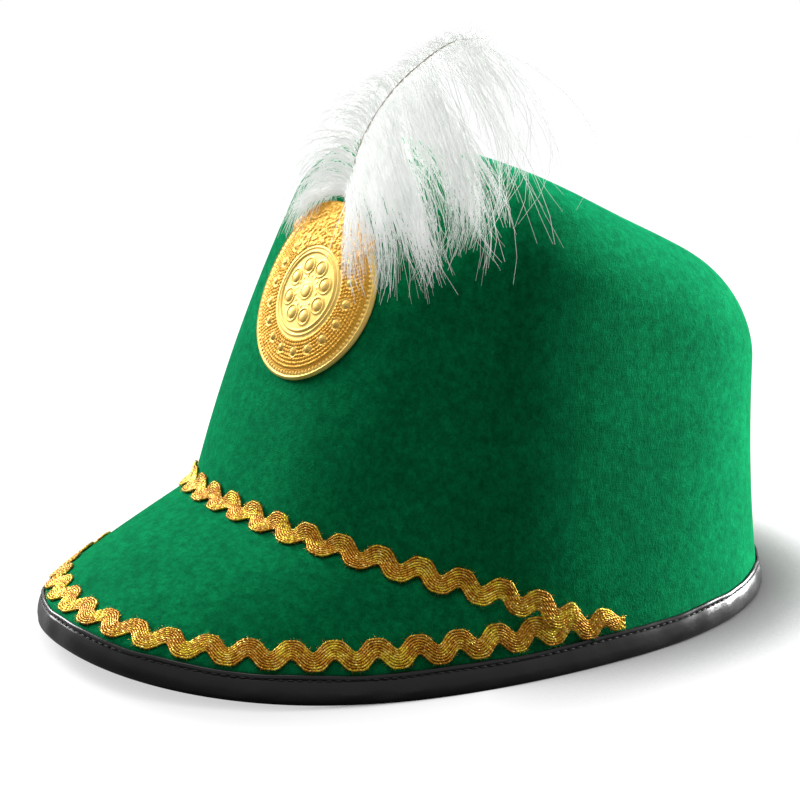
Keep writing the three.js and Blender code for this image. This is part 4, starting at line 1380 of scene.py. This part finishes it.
def floor_finish(colours):
    """A pale floor that fades into the white surroundings, and that casts little light back. To the camera it
    has a painted glow, darkened near the hat by a painted contact shadow that deepens along SHADOW_WAY.
    """
    finish = Finish("Pale floor", Roughness=0.7, Specular_IOR_Level=0.2)
    bench = finish.bench
    shader, product = bench.shader, bench.product
    finish.use(Base_Color=bench.blend(finish.mottle(3.0), colours.floor, FLOOR_GREY))
    path = bench.add("ShaderNodeLightPath").outputs
    dim = shader("BsdfDiffuse", 0, Color=FLOOR_GREY)
    # painted shadow: ambient occlusion darkens the floor's glow near the hat, more steeply along SHADOW_WAY
    near = shader("AmbientOcclusion", "AO", {"samples": 8}, Distance=0.035)
    inputs = {0: finish.place, 1: SHADOW_WAY}
    along = bench.add("ShaderNodeVectorMath", {"operation": "DOT_PRODUCT"}, inputs).outputs["Value"]
    painted_shadow_factor = bench.math("POWER", near, bench.span(along, 0.025, 0.12, 0.3, 6.0))
    # the floor's painted glow, seen only by the camera and dimmed by the painted contact shadow
    painted_glow = shader("Emission", 0, Strength=product(path["Is Camera Ray"], product(painted_shadow_factor, 0.9)))
    lit = bench.add("ShaderNodeAddShader", inputs={0: finish.shader.outputs[0], 1: painted_glow}).outputs[0]
    away = bench.add("ShaderNodeVectorMath", {"operation": "LENGTH"}, {0: finish.place}).outputs["Value"]
    clear = shader("BsdfTransparent", 0)
    for share, other in ((path["Is Diffuse Ray"], dim), (bench.span(away, 0.5, 0.95), clear)):
        lit = bench.add("ShaderNodeMixShader", inputs={0: share, 1: lit, 2: other}).outputs[0]
    bench.feed(finish.material.node_tree.nodes["Material Output"].inputs["Surface"], lit)
    return finish.material


def build_floor(colours):
    """A wide round floor."""
    mesh = bpy.data.meshes.new("floor")
    ring = [(6 * math.cos(a), 6 * math.sin(a), 0) for a in np.linspace(0, math.tau, 65)[:-1]]
    mesh.from_pydata(ring, [], [list(range(len(ring)))])
    mesh.materials.append(floor_finish(colours))
    put("floor", mesh)


def build_world(stage):
    """White surroundings: dim as a light, brighter in reflections and full to the camera."""
    world = bpy.data.worlds.new("studio")
    world.use_nodes = True
    bench = NodeBench(world.node_tree)
    path = bench.add("ShaderNodeLightPath").outputs
    shine = bench.math("MULTIPLY_ADD", path["Is Glossy Ray"], stage.shine, stage.world)
    background = world.node_tree.nodes["Background"].inputs
    background["Color"].default_value = (1.0, 1.0, 1.0, 1.0)
    bench.feed(background["Strength"], bench.math("MAXIMUM", path["Is Camera Ray"], shine))
    bpy.context.scene.world = world


def build_stage(shako):
    """The floor, the surroundings, the lights and the camera."""
    stage, scene = shako.stage, bpy.context.scene
    build_floor(shako.colours)
    build_world(stage)
    for name, place, size in zip(*SOFTBOXES.values()):
        light = bpy.data.lights.new(name, "AREA")
        light.size = size
        light.energy = getattr(stage, name)
        look_at(put(name, light), place, TARGET)
    a, e = stage.azimuth, stage.elevation
    back = Vector((math.sin(a) * math.cos(e), -math.cos(a) * math.cos(e), math.sin(e)))
    camera = put("camera", bpy.data.cameras.new("camera"))
    camera.data.lens = stage.lens
    camera.data.sensor_width = 36
    camera.data.clip_start = 0.01
    look_at(camera, Vector(TARGET) + back * stage.distance, TARGET)
    scene.camera = camera
    scene.view_settings.view_transform = "Standard"


# Operators


class ShakoPieceOperator:
    """What every operator here does: it builds its piece from the scene's settings."""

    bl_options = {"REGISTER", "UNDO"}

    def execute(self, context):
        self.build(context.scene.shako)
        return {"FINISHED"}


class SHAKO_OT_felt(ShakoPieceOperator, bpy.types.Operator):
    """Build the felt crown and peak"""

    bl_idname = "shako.felt"
    bl_label = "Felt crown and peak"
    build = staticmethod(build_felt)


class SHAKO_OT_binding(ShakoPieceOperator, bpy.types.Operator):
    """Build the vinyl binding and its stitches"""

    bl_idname = "shako.binding"
    bl_label = "Rim binding"
    build = staticmethod(build_binding)


class SHAKO_OT_braids(ShakoPieceOperator, bpy.types.Operator):
    """Build the two wavy gold braids"""

    bl_idname = "shako.braids"
    bl_label = "Gold braids"
    build = staticmethod(build_braids)


class SHAKO_OT_badge(ShakoPieceOperator, bpy.types.Operator):
    """Build the stamped badge"""

    bl_idname = "shako.badge"
    bl_label = "Badge"
    build = staticmethod(build_badge)


class SHAKO_OT_feather(ShakoPieceOperator, bpy.types.Operator):
    """Build the ostrich feather"""

    bl_idname = "shako.feather"
    bl_label = "Feather"
    build = staticmethod(build_feather)


class SHAKO_OT_stage(ShakoPieceOperator, bpy.types.Operator):
    """Build the floor, the lights and the camera"""

    bl_idname = "shako.stage"
    bl_label = "Stage"
    build = staticmethod(build_stage)


OPERATORS = (
    SHAKO_OT_felt,
    SHAKO_OT_binding,
    SHAKO_OT_braids,
    SHAKO_OT_badge,
    SHAKO_OT_feather,
    SHAKO_OT_stage,
)


class SHAKO_PT_pieces(bpy.types.Panel):
    """Lists the hat's pieces"""

    bl_idname = "SHAKO_PT_pieces"
    bl_label = "Felt Shako"
    bl_space_type = "VIEW_3D"
    bl_region_type = "UI"
    bl_category = "Shako"

    def draw(self, context):
        for operator in OPERATORS:
            self.layout.operator(operator.bl_idname)


CLASSES = (
    ShakoCrown,
    ShakoPeak,
    ShakoBinding,
    ShakoBraid,
    ShakoBadge,
    ShakoFeather,
    ShakoColours,
    ShakoStage,
    ShakoSettings,
    *OPERATORS,
    SHAKO_PT_pieces,
)


def register():
    """Registers the classes and hangs the settings on the scene."""
    for cls in CLASSES:
        bpy.utils.register_class(cls)
    bpy.types.Scene.shako = PointerProperty(type=ShakoSettings)


def unregister():
    """Takes the settings and the classes away again."""
    del bpy.types.Scene.shako
    for cls in reversed(CLASSES):
        bpy.utils.unregister_class(cls)


def main():
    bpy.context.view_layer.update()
    register()
    bpy.ops.shako.felt()
    bpy.ops.shako.binding()
    bpy.ops.shako.braids()
    bpy.ops.shako.badge()
    bpy.ops.shako.feather()
    bpy.ops.shako.stage()


if __name__ == "__main__":
    main()
